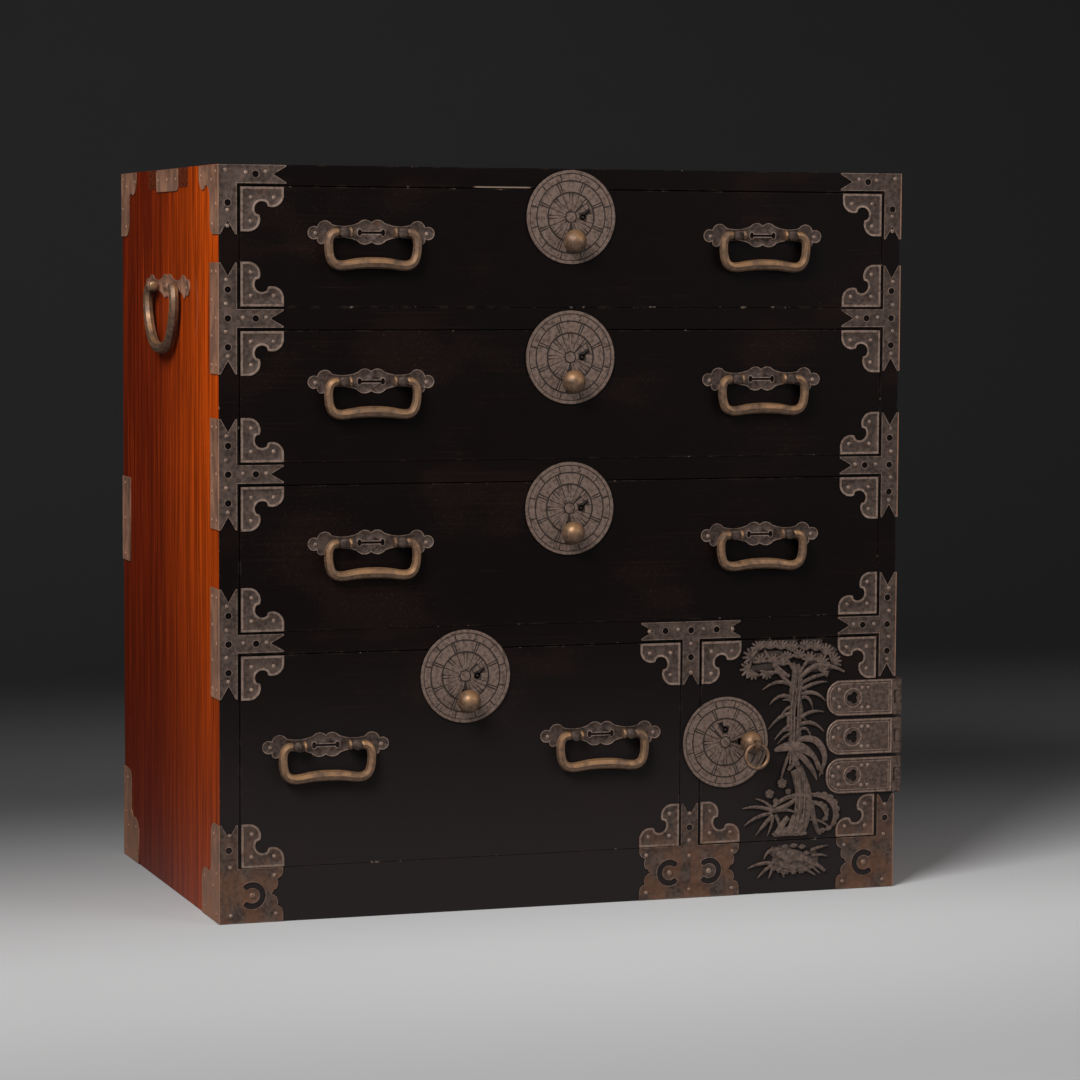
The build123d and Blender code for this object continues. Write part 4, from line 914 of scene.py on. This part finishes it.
class CHEST_OT_bails(Operator):
    """Forges the bails of the drawers and the sides and the ring of the door's knob"""

    bl_idname = "chest.bails"
    bl_label = "Bails and ring"

    def execute(self, context):
        forged = forged_iron("forged_bail_iron", context.scene.chest_iron)
        for drawer in DRAWERS:
            for hand in HANDS:
                self.forge(f"{drawer}_bail_{hand}", forged, 34, DRAWER_BAIL, BAIL_DROP)
        for hand in HANDS:
            self.forge(f"side_bail_{hand}", forged, 47, SIDE_BAIL, SIDE_BAIL_DROP)
        self.bend_ring("door_knob_ring", forged)
        return {"FINISHED"}

    def forge(self, node, material, pin, arm, drop):
        """One bail: how far its pins are from its middle, in millimetres, half of its arm and its drop."""
        low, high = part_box(node)
        middle = (low + high) / 2
        half = [(pin + x, z, radius) for x, z, radius in BAIL_PIN] + list(arm)
        line = half + [(-x, z, radius) for x, z, radius in reversed(half)]
        across = Vector((1, 0, 0)) if high.y - low.y < high.x - low.x else Vector((0, 1, 0))
        pins = Vector((middle.x, middle.y, low.z + drop))
        stroke = [(pins + x * MM * across + Vector((0, 0, z * MM)), radius * MM) for x, z, radius in line]
        mesh = rods([stroke], sides=2, smoothness=4)
        place_mesh(f"{node}_forged", mesh, material, node, [node])

    def bend_ring(self, node, material):
        """The ring, a closed round loop of wire."""
        low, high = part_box(node)
        centre = (low + high) / 2
        wire = (high.y - low.y) / 2
        radius = (high.x - low.x) / 2 - wire
        points = 12
        reach = 1.03 * radius / cos(pi / points) ** 0.5
        stroke = []
        for number in range(points):
            angle = 2 * pi * number / points
            place = (centre.x + reach * cos(angle), centre.y, centre.z + reach * sin(angle))
            stroke.append((place, wire * 0.97))
        mesh = rods([stroke], sides=4, smoothness=5, closed=True)
        place_mesh(f"{node}_forged", mesh, material, node, [node])


# The panels round a lock's hub: inner and outer radius in millimetres, first and last angle in degrees.
# They stay clear of the keyhole at the right and of the knob's slot below.
WHEEL = (
    *(
        (6.8, 27, 45 * turn + start, 45 * turn + end)
        for turn in range(1, 5) for start, end in ((5.5, 21.7), (23.3, 39.5))
    ),
    (6.8, 27, 230.5, 245.5), (6.8, 15.4, 247, 261.5), (6.8, 15.4, 278.5, 292.5), (6.8, 27, 294, 309.5),
    (15.4, 27, 247, 257), (15.4, 27, 283, 292.5),
    (6.8, 27, 320.5, 331.5), (6.8, 27, 333, 344),
    (6.8, 10.2, -15, 39.5), (19.2, 27, -15, 8), (10.4, 19, 22, 39.5), (24.6, 27, 9, 39.5),
    (19.2, 24.4, 25, 39.5),
)


class CHEST_OT_locks(Operator):
    """Engraves the round lock plates with their wheel and finishes the knobs"""

    bl_idname = "chest.locks"
    bl_label = "Locks"

    def execute(self, context):
        iron = context.scene.chest_iron
        radius = 53.5 * MM
        face = BOARD_FRONT + 1.5 * MM
        hollow, crest = face + 0.05 * MM, face + 0.7 * iron.engraving
        plate = relief_iron("lock_plate_iron", iron, -hollow, -crest, lighter=1.35, rubbed=0.6)
        knob = forged_iron("knob_iron", iron)
        for name in DRAWERS + ("door",):
            soften(dress(f"{name}_lock", plate), 0.6 * MM)
            dress(f"{name}_lock_knob", knob)
            low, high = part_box(f"{name}_lock")
            if name == "door":
                place = on_front(high.x - radius, (low.z + high.z) / 2, -face)
                place = place @ Matrix.Rotation(pi / 2, 4, "Z")
            else:
                place = on_front((low.x + high.x) / 2, high.z - radius, -face)
            shape = bmesh.new()
            self.engrave(shape, place, iron)
            add_piece(f"{name}_lock_engraving", shape, plate, name)
        return {"FINISHED"}

    def engrave(self, shape, place, iron):
        """A rim lighter on its crest (rubbed metal and painted highlight), a band of ticks, a ring of
        segments and a wheel of spokes round the hub.
        """
        height = iron.engraving
        rim, ticks, segments, nails = (50.2, 53.0), (41.9, 49.3), (28.6, 40.6), 45.5

        def sector(inner, outer, first, last, rise, **more):
            add_sector(shape, place, inner * MM, outer * MM, first, last, rise * height, **more)

        for first in (0, 180):
            sector(*rim, first, first + 180, 0.9, slope=0.5 * MM)
        for number in range(12):
            first = 30 * number + 16
            sector(*ticks, first, first + 28.6, 0.8)
        at_slot = 5
        for number in range(8):
            first = 45 * number + 25.6
            last = first + 38.8
            parts = ((first, 262), (278, last)) if number == at_slot else ((first, last),)
            for start, end in parts:
                sector(*segments, start, end, 1)
            sector(*segments, last + 1.7, last + 4.5, 0.7)
        for inner, outer, first, last in WHEEL:
            sector(inner, outer, first, last, 0.9)
        for number in (1, 2, 3, 4, 5, 7):
            spoke = Matrix.Rotation(radians(45 * number), 4, "Z")
            start = Vector(((8.5 if number > 1 else 19.5) * MM, 0))
            add_bar(shape, place @ spoke, start, Vector((26.8 * MM, 0)), 2.6 * MM, 0.8 * height)
        for angle in (29, 75, 121, 163, 211, 249, 291, 341):
            turn = Matrix.Rotation(radians(angle), 4, "Z")
            out = Matrix.Translation((nails * MM, 0, 0.3 * MM))
            add_nail(shape, place @ turn @ out, radius=1.5 * MM, height=0.8 * MM)


# Nails, in millimetres. At a corner of the chest: in from its side and down from its top
CORNER_NAILS = ((7.5, 6.6), (10.0, 50.6), (53.5, 8.0), (10.0, 68.0), (31.0, 9.0))
# At a tee iron: in from the side and up from the rail's middle
TEE_NAILS = ((8.5, 43), (8, 16), (8, -15), (10, -42), (27.5, 1), (54, 1))
# At a base iron: in from the side and up from the floor
BASE_NAILS = ((10.9, 100), (11.7, 64), (12.5, 9), (62.8, 53), (64.8, 9.5))
# At the post: x and z
POST_NAILS = (
    (100, 316), (136, 317), (168, 317), (204, 316), (152, 300), (152, 266), (152, 100), (152, 68),
    (98, 53), (98, 9), (206, 53), (206, 9), (152, 10), (152, 50),
)
# On a side: in from its front or back end and down from the top, or up from the floor
SIDE_TOP_NAILS = ((10, 8), (30, 17), (78, 12), (10, 44), (28, 66))
SIDE_BASE_NAILS = ((12, 10), (70, 10), (70, 44), (12, 56), (28, 40), (24, 100))
# On a side, beside a rail: in from the front end and up from the rail's middle
SIDE_TEE_NAILS = ((9, 52), (29, 52), (10, 0), (29, 20), (29, -20), (9, -52), (29, -52))
# On a strap: in from its rounded end and up from its middle
STRAP_NAILS = ((9.5, 0), (16.5, 10.5), (16.5, -10.5), (46, 11.8), (54, 11.8), (46, -11.8), (54, -11.8))


class CHEST_OT_nails(Operator):
    """Drives the nails of all the irons, in one piece for each body that carries them"""

    bl_idname = "chest.nails"
    bl_label = "Nails"

    def execute(self, context):
        iron = context.scene.chest_iron
        metal = sheet_iron("nail_iron", iron, lighter=1.5)
        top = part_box("side_panel_left")[1].z
        leaf = -(FRAME_FRONT + IRON)
        heads = [on_front(x, z, leaf) for x, z in self.carcass_front(top)]
        for side in (-1, 1):
            heads += [on_side(side, y, z, SIDE + IRON) for y, z in self.carcass_side(top)]
        self.drive("carcass_nails", heads, metal, "carcass", iron)
        heads = [on_front(x * MM, BOSS_HEIGHT * MM, leaf) for x in BOSSES]
        self.drive("base_bosses", heads, metal, "carcass", iron, larger=1.45)
        level = -(BOARD_FRONT + IRON)
        panel = -(BOARD_FRONT + IRON - iron.panel_depth)
        plate_end, lower, sunk = 65 * MM, 1.2 * MM, 0.3 * MM
        for drawer in DRAWERS:
            heads = [on_front(x, z, panel) for x, z in self.corner_nails(f"{drawer}_front")]
            for hand in HANDS:
                x, z = bail_pins(drawer, hand)
                heads += [on_front(x + end * plate_end, z - lower, level + sunk) for end in (-1, 1)]
            self.drive(f"{drawer}_nails", heads, metal, drawer, iron)
        heads = [on_front(x, z, panel) for x, z in self.corner_nails("door_panel")]
        low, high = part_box("door_hinge_straps")
        pitch = 46.5 * MM
        for row in (-1, 0, 1):
            middle = (low.z + high.z) / 2 + row * pitch
            for x, lift in STRAP_NAILS:
                heads.append(on_front(low.x + x * MM, middle + lift * MM, low.y + 0.15 * MM))
        self.drive("door_nails", heads, metal, "door", iron)
        return {"FINISHED"}

    def drive(self, name, heads, material, body, iron, larger=1.0):
        """Makes one piece of all the nails of a body."""
        shape = bmesh.new()
        for head in heads:
            add_nail(shape, head, larger * iron.nail_radius, larger * iron.nail_height)
        rub(shape, 0.55)
        add_piece(name, shape, material, body)

    def corner_nails(self, board):
        """Three nails in each corner iron of a board."""
        low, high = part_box(board)
        near, far = 12.5 * MM, 38.5 * MM
        spots = []
        for x, inward in ((low.x, 1), (high.x, -1)):
            for z, upward in ((low.z, 1), (high.z, -1)):
                for along, across in ((near, far), (near, near), (far, near)):
                    spots.append((x + inward * along, z + upward * across))
        return spots

    def carcass_front(self, top):
        """Nails of the corner, tee, base and post irons, on the front."""
        spots = []
        for side in (-1, 1):
            from_side = [(reach, top - down * MM) for reach, down in CORNER_NAILS]
            from_side += [(reach, (rail + lift) * MM) for rail in RAILS for reach, lift in TEE_NAILS]
            from_side += [(reach, lift * MM) for reach, lift in BASE_NAILS]
            spots += [(side * (SIDE - reach * MM), z) for reach, z in from_side]
        return spots + [(x * MM, z * MM) for x, z in POST_NAILS]

    def carcass_side(self, top):
        """Nails of the leaves that lie on a side."""
        spots = []
        for end, inward in ((SIDE_FRONT, 1), (SIDE_BACK, -1)):
            spots += [((end + inward * reach) * MM, top - down * MM) for reach, down in SIDE_TOP_NAILS]
            spots += [((end + inward * reach) * MM, lift * MM) for reach, lift in SIDE_BASE_NAILS]
        for rail in RAILS:
            spots += [((SIDE_FRONT + reach) * MM, (rail + lift) * MM) for reach, lift in SIDE_TEE_NAILS]
        rear_strip = [(236 * MM, z * MM) for z in (380, 424, 468)]
        top_middle = [(y * MM, top - 13 * MM) for y in (-46, 0, 46)]
        handle_plate = [(y * MM, 712 * MM) for y in (-98, 98)]
        return spots + rear_strip + top_middle + handle_plate


# ---- The reliefs' drawings, in millimetres ----
# Lumps between two points: x and z of each, and their size
CANOPY = (
    (228, 276, 232, 292, 8.5), (240, 296, 262, 300, 8.0), (236, 282, 268, 284, 7.0),
    (266, 298, 286, 300, 6.5), (292, 299, 318, 296, 7.0), (318, 292, 336, 284, 7.0),
    (300, 276, 322, 280, 7.5), (300, 266, 334, 268, 6.0), (226, 268, 262, 271, 5.5),
)
# Tufts of pine needles: x and z, first and last angle in degrees, reach
TUFTS = (
    (224, 268, 70, 260, 11), (228, 282, 50, 215, 12), (238, 291, 35, 170, 12), (251, 292, 20, 160, 12),
    (265, 291, 20, 155, 12), (279, 288, 30, 150, 12), (288, 280, 20, 160, 10), (296, 289, 25, 150, 11),
    (309, 288, 15, 145, 12), (272, 279, 20, 160, 9), (321, 283, 5, 130, 13), (331, 273, -20, 110, 12),
    (302, 276, 10, 165, 11), (317, 272, 0, 150, 11), (240, 276, 10, 180, 10), (255, 276, 0, 170, 10),
    (247, 264, 170, 340, 9), (266, 272, 10, 160, 9), (230, 264, 150, 330, 9), (318, 262, -40, 140, 9),
)
# Strokes: x, z and radius of each point
TRUNK = (
    (
        (289, 150, 4.0), (276, 168, 5.5), (285, 188, 4.5), (274, 206, 5.5), (285, 222, 4.0), (277, 240, 5.0),
        (286, 258, 4.5), (281, 274, 3.0),
    ),
    (
        (280, 158, 3.5), (293, 178, 4.5), (283, 198, 4.0), (295, 214, 4.0), (284, 232, 4.5), (294, 250, 4.0),
        (287, 272, 3.0),
    ),
    ((284, 68, 6.5), (287, 88, 6.0), (293, 108, 6.5), (291, 124, 6.0), (283, 146, 4.5)),
    ((292, 66, 4.5), (301, 84, 4.5), (304, 108, 6.0), (300, 126, 5.5), (290, 150, 4.5)),
    ((318, 64, 2.6), (310, 82, 3.4), (306, 104, 4.4)),
    ((258, 68, 4.5), (268, 76, 7.0), (284, 72, 6.0)),
)
CRANE = (
    ((258, 170, 2.0), (267, 174, 5.5), (282, 176, 7.5), (298, 172, 6.5), (310, 160, 3.0)),
    ((288, 182, 3.0), (306, 186, 5.0), (320, 174, 5.0), (326, 156, 3.4), (316, 137, 1.0)),
    ((284, 168, 3.0), (298, 160, 5.0), (308, 146, 4.0), (313, 133, 1.0)),
    ((278, 168, 2.4), (271, 152, 2.2), (267, 137, 1.4)),
    ((292, 168, 3.0), (284, 156, 4.5), (276, 146, 2.0)),
)
PLUM_TWIGS = (
    ((300, 114, 3.0), (284, 118, 3.4), (270, 115, 2.8), (257, 103, 2.4)),
    ((286, 112, 2.8), (276, 103, 3.2), (262, 100, 3.4), (252, 98, 2.4)),
)
WISTERIA_STEMS = (
    ((304, 116, 2.6), (322, 115, 3.0), (338, 103, 3.0), (338, 86, 2.6), (331, 75, 1.4)),
    ((303, 108, 2.2), (316, 107, 2.8), (327, 98, 2.6), (326, 84, 1.6)),
    ((305, 86, 1.8), (318, 86, 1.8), (329, 76, 1.2)),
)
ROCKS = (
    ((262, 70, 4), (267, 82, 4.5), (276, 90, 3.6)), ((276, 70, 4), (281, 82, 4.6), (284, 92, 3.0)),
    ((288, 70, 4.2), (292, 80, 4.4), (296, 92, 2.6)), ((262, 70, 2), (280, 69.6, 2), (300, 70, 2)),
)
GROUND = (
    ((254, 52, 5.5), (266, 46, 9.5), (284, 44, 10.5), (302, 36, 9.0), (316, 30, 5.0)),
    ((256, 38, 6.5), (270, 32, 9.0), (288, 31, 9.0), (304, 29, 6.5)),
    ((306, 50, 5.0), (314, 42, 6.0), (310, 32, 6.0)), ((264, 55, 2.6), (276, 54.5, 3.0), (290, 55, 2.6)),
)
TORTOISE = (
    ((262, 48, 3.4), (272, 44, 4.0), (280, 36, 3.0)), ((276, 48, 3.2), (288, 44, 4.0), (296, 36, 3.0)),
    ((264, 36, 3.0), (276, 30, 3.8), (288, 28, 2.6)), ((292, 44, 2.8), (302, 38, 3.6), (310, 32, 2.8)),
    ((312, 33, 2.6), (320, 28, 2.8), (324.5, 23.5, 2.0)), ((308, 30, 1.6), (314, 24, 1.5), (318, 21, 0.8)),
)
# Long leaves: their width, how wide their tip is beside it, and x and z of each point
TWIGS = (
    (3.0, 0.6, (276, 258), (262, 266), (250, 279), (244, 290)),
    (3.0, 0.6, (284, 244), (270, 254), (258, 266), (254, 276)),
    (4.2, 0.3, (290, 256), (302, 268), (316, 272), (334, 268), (347, 261)),
    (3.0, 0.6, (290, 262), (296, 274), (306, 282)), (3.0, 0.6, (283, 262), (276, 276), (266, 284)),
    (3.6, 0.4, (291, 248), (306, 259), (326, 259)), (3.0, 0.2, (289, 222), (278, 232), (268, 230)),
    (3.0, 0.2, (282, 240), (292, 248), (300, 238)), (3.0, 0.2, (280, 204), (291, 214), (299, 204)),
    (3.0, 0.2, (288, 188), (278, 198), (268, 192)), (4.2, 0.15, (281, 230), (266, 243), (251, 225)),
    (4.2, 0.15, (284, 244), (264, 260), (242, 243)), (3.6, 0.15, (276, 258), (254, 270), (232, 258)),
    (4.4, 0.15, (282, 212), (268, 218), (250, 196)), (3.8, 0.15, (282, 200), (272, 200), (258, 183)),
    (3.2, 0.15, (281, 222), (272, 222), (264, 208)), (3.8, 0.15, (293, 242), (308, 251), (325, 250)),
    (4.2, 0.15, (292, 236), (309, 243), (323, 227)), (3.6, 0.15, (292, 232), (304, 236), (307, 216)),
    (3.8, 0.15, (291, 208), (305, 219), (321, 214)), (4.2, 0.15, (290, 200), (306, 208), (322, 190)),
    (3.4, 0.15, (290, 194), (300, 200), (305, 184)), (3.2, 0.15, (282, 190), (272, 190), (262, 178)),
)
BAMBOO = (
    (4.0, 0.15, (258, 98), (240, 107), (218, 103)), (3.8, 0.15, (256, 96), (236, 95), (220, 82)),
    (4.2, 0.15, (257, 94), (246, 84), (235, 70)), (3.6, 0.2, (260, 94), (266, 84), (266, 74)),
    (3.8, 0.3, (258, 98), (270, 102), (284, 96)), (3.2, 0.15, (257, 92), (256, 82), (250, 69)),
    (3.0, 0.15, (258, 100), (246, 112), (234, 114)),
)
BASE_LEAVES = (
    (3.8, 0.15, (258, 36), (242, 39), (225, 31)), (3.6, 0.15, (256, 34), (246, 28), (238, 19)),
    (3.4, 0.15, (258, 33), (256, 26), (252, 17)), (3.2, 0.2, (266, 31), (271, 25), (272, 18)),
    (3.4, 0.2, (258, 52), (250, 52), (246, 41)), (3.2, 0.2, (306, 49), (316, 53), (328, 54)),
    (3.0, 0.2, (308, 42), (318, 45), (327, 41)), (2.8, 0.2, (298, 27), (308, 23), (313, 18)),
)


def pad(x0, z0, x1, z1, size):
    """A flat lump between two points."""
    middle = ((x0 + x1) / 2, (z0 + z1) / 2, size * 1.1)
    return [(x0, z0, 0.7 * size), middle, (x1, z1, 0.7 * size)]


def blade(width, tip, *points):
    """A long leaf that is widest near its first third and ends in a point."""
    last = len(points) - 1
    sizes = [0.6] + [1.0 - (1 - tip) * (number / last) ** 2 for number in range(1, last + 1)]
    return [(x, z, width * size) for (x, z), size in zip(points, sizes)]


def needle_fan(x, z, first, last, reach, count, thick):
    """A fan of short needles or petals round a point, between two angles in degrees."""
    strokes = []
    for number in range(count):
        angle = radians(first + (last - first) * number / (count - 1))
        tip = (x + reach * cos(angle), z + reach * sin(angle), 0.55 * thick)
        bend = (x + 0.55 * reach * cos(angle), z + 0.6 * reach * sin(angle), 1.05 * thick)
        strokes.append([(x, z, 0.7 * thick), bend, tip])
    return strokes


def plum_flowers():
    """The petals of the plum's blossoms and buds."""
    petals = []
    for x, z, size in ((268, 131, 5.6), (252, 119, 5.2), (260, 110, 3.4), (276, 121, 3.4)):
        for petal in range(5):
            angle = radians(72 * petal + 18)
            across, up = size * cos(angle), size * sin(angle)
            middle = (x + 0.7 * across, z + 0.7 * up, 0.58 * size)
            petals.append([(x, z, 0.3 * size), middle, (x + across, z + up, 0.5 * size)])
    return petals


def wisteria_flowers():
    """Two arcs of small fans, one inside the other."""
    fans = []
    level = 94
    for count, start, turn, middle, half_width, half_height, spread, reach, needles, thick in (
        (9, 100, 23, 318, 20, 20, 60, 5.0, 4, 2.4), (6, 96, 28, 314, 11, 10, 50, 4.0, 3, 2.2),
    ):
        for number in range(count):
            angle = start - turn * number
            x, z = middle + half_width * cos(radians(angle)), level + half_height * sin(radians(angle))
            fans += needle_fan(x, z, angle - spread, angle + spread, reach, needles, thick)
    return fans


def door_drawing():
    """The layers of the door's relief, each with how flat it is and how far it is lifted."""
    yield [pad(*lump) for lump in CANOPY], 0.2, 0.1
    yield TRUNK, 0.45, 0.2
    yield [needle for tuft in TUFTS for needle in needle_fan(*tuft, 6, 2.3)], 0.75, 0.36
    yield [blade(*twig) for twig in TWIGS], 0.6, 0.36
    grooves = [
        [(280 + x, 166 + 5 * x, 1.0), (283 + x, 190, 1.3), (279 + x, 212, 1.3), (284 + x, 244, 0.8)]
        for x in (-2.5, 1.5, 6)
    ]
    grooves += [[(285 + x, 74, 1.1), (291 + x, 106, 1.3), (288 + x, 140, 0.9)] for x in (-3, 2, 8)]
    yield grooves, 0.9, 0.62
    yield CRANE, 0.5, 0.34
    steps = range(4)
    feathers = [
        blade(1.5, 0.35, (292 + 4 * n, 176 - 2 * n), (306 + 3 * n, 168 - 4 * n), (313 + 2.4 * n, 146 - 2 * n))
        for n in steps
    ]
    feathers += [blade(1.3, 0.35, (268 + 6 * n, 177), (275 + 6 * n, 172), (280 + 6 * n, 164)) for n in steps]
    yield feathers, 0.9, 0.66
    yield [*plum_flowers(), *PLUM_TWIGS], 0.6, 0.4
    yield [blade(*leaf) for leaf in BAMBOO], 0.6, 0.4
    yield [*wisteria_flowers(), *WISTERIA_STEMS], 0.5, 0.4
    yield ROCKS, 0.42, 0.5


def base_drawing():
    """The layers of the relief on the base rail."""
    yield GROUND, 0.22, 0.15
    yield TORTOISE, 0.42, 0.46
    yield [blade(*leaf) for leaf in BASE_LEAVES], 0.6, 0.4
    ripples = []
    for number in range(7):
        angle = radians(-20 - 23 * number)
        ripples += needle_fan(284 + 25 * cos(angle), 35 + 9 * sin(angle), -160, -20, 5.0, 4, 1.9)
    for x, z in (
        (262, 50), (273, 53), (284, 54), (295, 52), (300, 44), (268, 42), (280, 46), (290, 38), (274, 34),
    ):
        ripples += needle_fan(x, z, 30, 150, 5.0, 4, 2.0)
    yield ripples, 0.7, 0.38


class CHEST_OT_reliefs(Operator):
    """Chases the relief: pine and crane over plum, bamboo and wisteria on the door, a tortoise below"""

    bl_idname = "chest.reliefs"
    bl_label = "Reliefs"

    def execute(self, context):
        iron = context.scene.chest_iron
        for node, body, drawing in (
            ("door_relief", "door", door_drawing), ("base_relief", "carcass", base_drawing),
        ):
            low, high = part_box(node)
            shape = bmesh.new()
            thickness = 1.8 * (high.y - low.y)
            crest = high.y - 0.95 * thickness
            metal = relief_iron(f"{node}_iron", iron, high.y, crest, lighter=0.9, rubbed=0.6)
            for strokes, flatness, lift in drawing():
                self.lay(shape, strokes, high.y, thickness, flatness, lift)
            for vert in shape.verts:
                vert.co.z = max(min(vert.co.z, high.z), low.z)
            add_piece(f"{node}_chased", shape, metal, body, [node])
        return {"FINISHED"}

    def lay(self, shape, strokes, back, thickness, flatness, lift):
        """Lays flattened strokes on the board, each layer lifted over the one before."""
        paths = [[((x * MM, 0.0, z * MM), radius * MM) for x, z, radius in stroke] for stroke in strokes]
        mesh = rods(paths, sides=1, smoothness=3)
        part = bmesh.new()
        part.from_mesh(mesh)
        bpy.data.meshes.remove(mesh)
        press = Matrix.Translation((0, back - lift * thickness, 0)) @ Matrix.Diagonal((1, flatness, 1, 1))
        bmesh.ops.transform(part, matrix=press, verts=part.verts)
        for vert in part.verts:
            vert.co.y = max(min(vert.co.y, back), back - 0.98 * thickness)
        join(shape, part, Matrix.Identity(4))


class CHEST_OT_stage(Operator):
    """Sets the floor, the backdrop, the soft lights and the camera"""

    bl_idname = "chest.stage"
    bl_label = "Stage"

    def execute(self, context):
        stage = context.scene.chest_stage
        self.paper(context, stage)
        self.lamp(context, "Key", stage.key, size=1.7, place=(-2.3, -2.3, 2.9), aim=(-0.1, 0.0, 0.5))
        self.lamp(context, "Fill", stage.fill, size=2.4, place=(2.6, -3.0, 1.7), aim=(0.1, 0.0, 0.4))
        self.world(context, stage)
        self.camera(context)
        context.scene.view_settings.view_transform = "Standard"
        return {"FINISHED"}

    def paper(self, context, stage):
        """The floor and the backdrop, one sheet that curves up behind the chest."""
        shape = bmesh.new()
        floor = -0.2 * MM
        front, back, top, bend, half_width = -7.0, 3.4, 5.0, 1.4, 8.0
        line = ((front, floor), (back, floor), (back, top))
        points = [shape.verts.new((-half_width, y, z)) for y, z in line]
        for pair in zip(points, points[1:]):
            shape.edges.new(pair)
        bmesh.ops.bevel(
            shape, geom=[points[1]], offset=bend, segments=14, profile=0.5, affect="VERTICES", material=-1
        )
        swept = bmesh.ops.extrude_edge_only(shape, edges=shape.edges[:])["geom"]
        moved = [part for part in swept if isinstance(part, bmesh.types.BMVert)]
        bmesh.ops.translate(shape, verts=moved, vec=(2 * half_width, 0.0, 0.0))
        bmesh.ops.recalc_face_normals(shape, faces=shape.faces)
        mesh = bpy.data.meshes.new("studio_paper")
        shape.to_mesh(mesh)
        shape.free()
        mesh.shade_smooth()
        mesh.materials.append(stage_finish("studio_paper", tuple(stage.floor), tuple(stage.backdrop)))
        sheet = bpy.data.objects.new("studio_paper", mesh)
        context.scene.collection.objects.link(sheet)

    def lamp(self, context, name, watts, size, place, aim):
        """A square soft light that looks at a point."""
        light = bpy.data.lights.new(name, "AREA")
        light.energy = watts
        light.size = size
        holder = bpy.data.objects.new(name, light)
        context.scene.collection.objects.link(holder)
        holder.location = place
        holder.rotation_euler = (Vector(aim) - Vector(place)).to_track_quat("-Z", "Y").to_euler()

    def world(self, context, stage):
        """Even light from all round."""
        world = bpy.data.worlds.new("Studio")
        world.use_nodes = True
        background = world.node_tree.nodes["Background"]
        background.inputs["Color"].default_value = (1.0, 1.0, 1.0, 1.0)
        background.inputs["Strength"].default_value = stage.world
        context.scene.world = world

    def camera(self, context):
        """A long lens, a little to the left of the front and just above it."""
        place = Vector((-1.3396, -4.0543, 0.7439))
        focal_length = 117.14
        yaw, pitch, roll = radians(18.928), radians(4.526), radians(0.291)
        ahead = Vector((sin(yaw) * cos(pitch), cos(yaw) * cos(pitch), -sin(pitch)))
        level = Vector((cos(yaw), -sin(yaw), 0.0))
        upright = level.cross(ahead)
        right = cos(roll) * level + sin(roll) * upright
        up = cos(roll) * upright - sin(roll) * level
        lens = bpy.data.cameras.new("Camera")
        lens.lens = focal_length
        lens.sensor_width = 36.0
        lens.clip_end = 60.0
        holder = bpy.data.objects.new("Camera", lens)
        context.scene.collection.objects.link(holder)
        turn = Matrix((right, up, -ahead)).transposed().to_4x4()
        holder.matrix_world = Matrix.Translation(place) @ turn
        context.scene.camera = holder


STEPS = (
    CHEST_OT_boards, CHEST_OT_carcass_irons, CHEST_OT_drawer_irons, CHEST_OT_side_plates, CHEST_OT_hinges,
    CHEST_OT_bails, CHEST_OT_locks, CHEST_OT_nails, CHEST_OT_reliefs, CHEST_OT_stage,
)


class CHEST_PT_panel(Panel):
    """Lists the steps that finish the chest, and their sizes and colours"""

    bl_label = "Clothing chest"
    bl_idname = "CHEST_PT_panel"
    bl_space_type = "VIEW_3D"
    bl_region_type = "UI"
    bl_category = "Chest"

    def draw(self, context):
        scene = context.scene
        for step in STEPS:
            self.layout.operator(step.bl_idname)
        for settings in (scene.chest_wood, scene.chest_iron, scene.chest_stage):
            box = self.layout.box()
            for name in settings.__annotations__:
                box.prop(settings, name)


CLASSES = (WoodSettings, IronSettings, StageSettings, *STEPS, CHEST_PT_panel)


def register():
    for kind in CLASSES:
        bpy.utils.register_class(kind)
    bpy.types.Scene.chest_wood = PointerProperty(type=WoodSettings)
    bpy.types.Scene.chest_iron = PointerProperty(type=IronSettings)
    bpy.types.Scene.chest_stage = PointerProperty(type=StageSettings)


def unregister():
    del bpy.types.Scene.chest_stage
    del bpy.types.Scene.chest_iron
    del bpy.types.Scene.chest_wood
    for kind in reversed(CLASSES):
        bpy.utils.unregister_class(kind)


def main():
    """Finishes the whole chest."""
    register()
    for step in STEPS:
        getattr(bpy.ops.chest, step.bl_idname.split(".")[1])()


if __name__ == "__main__":
    main()
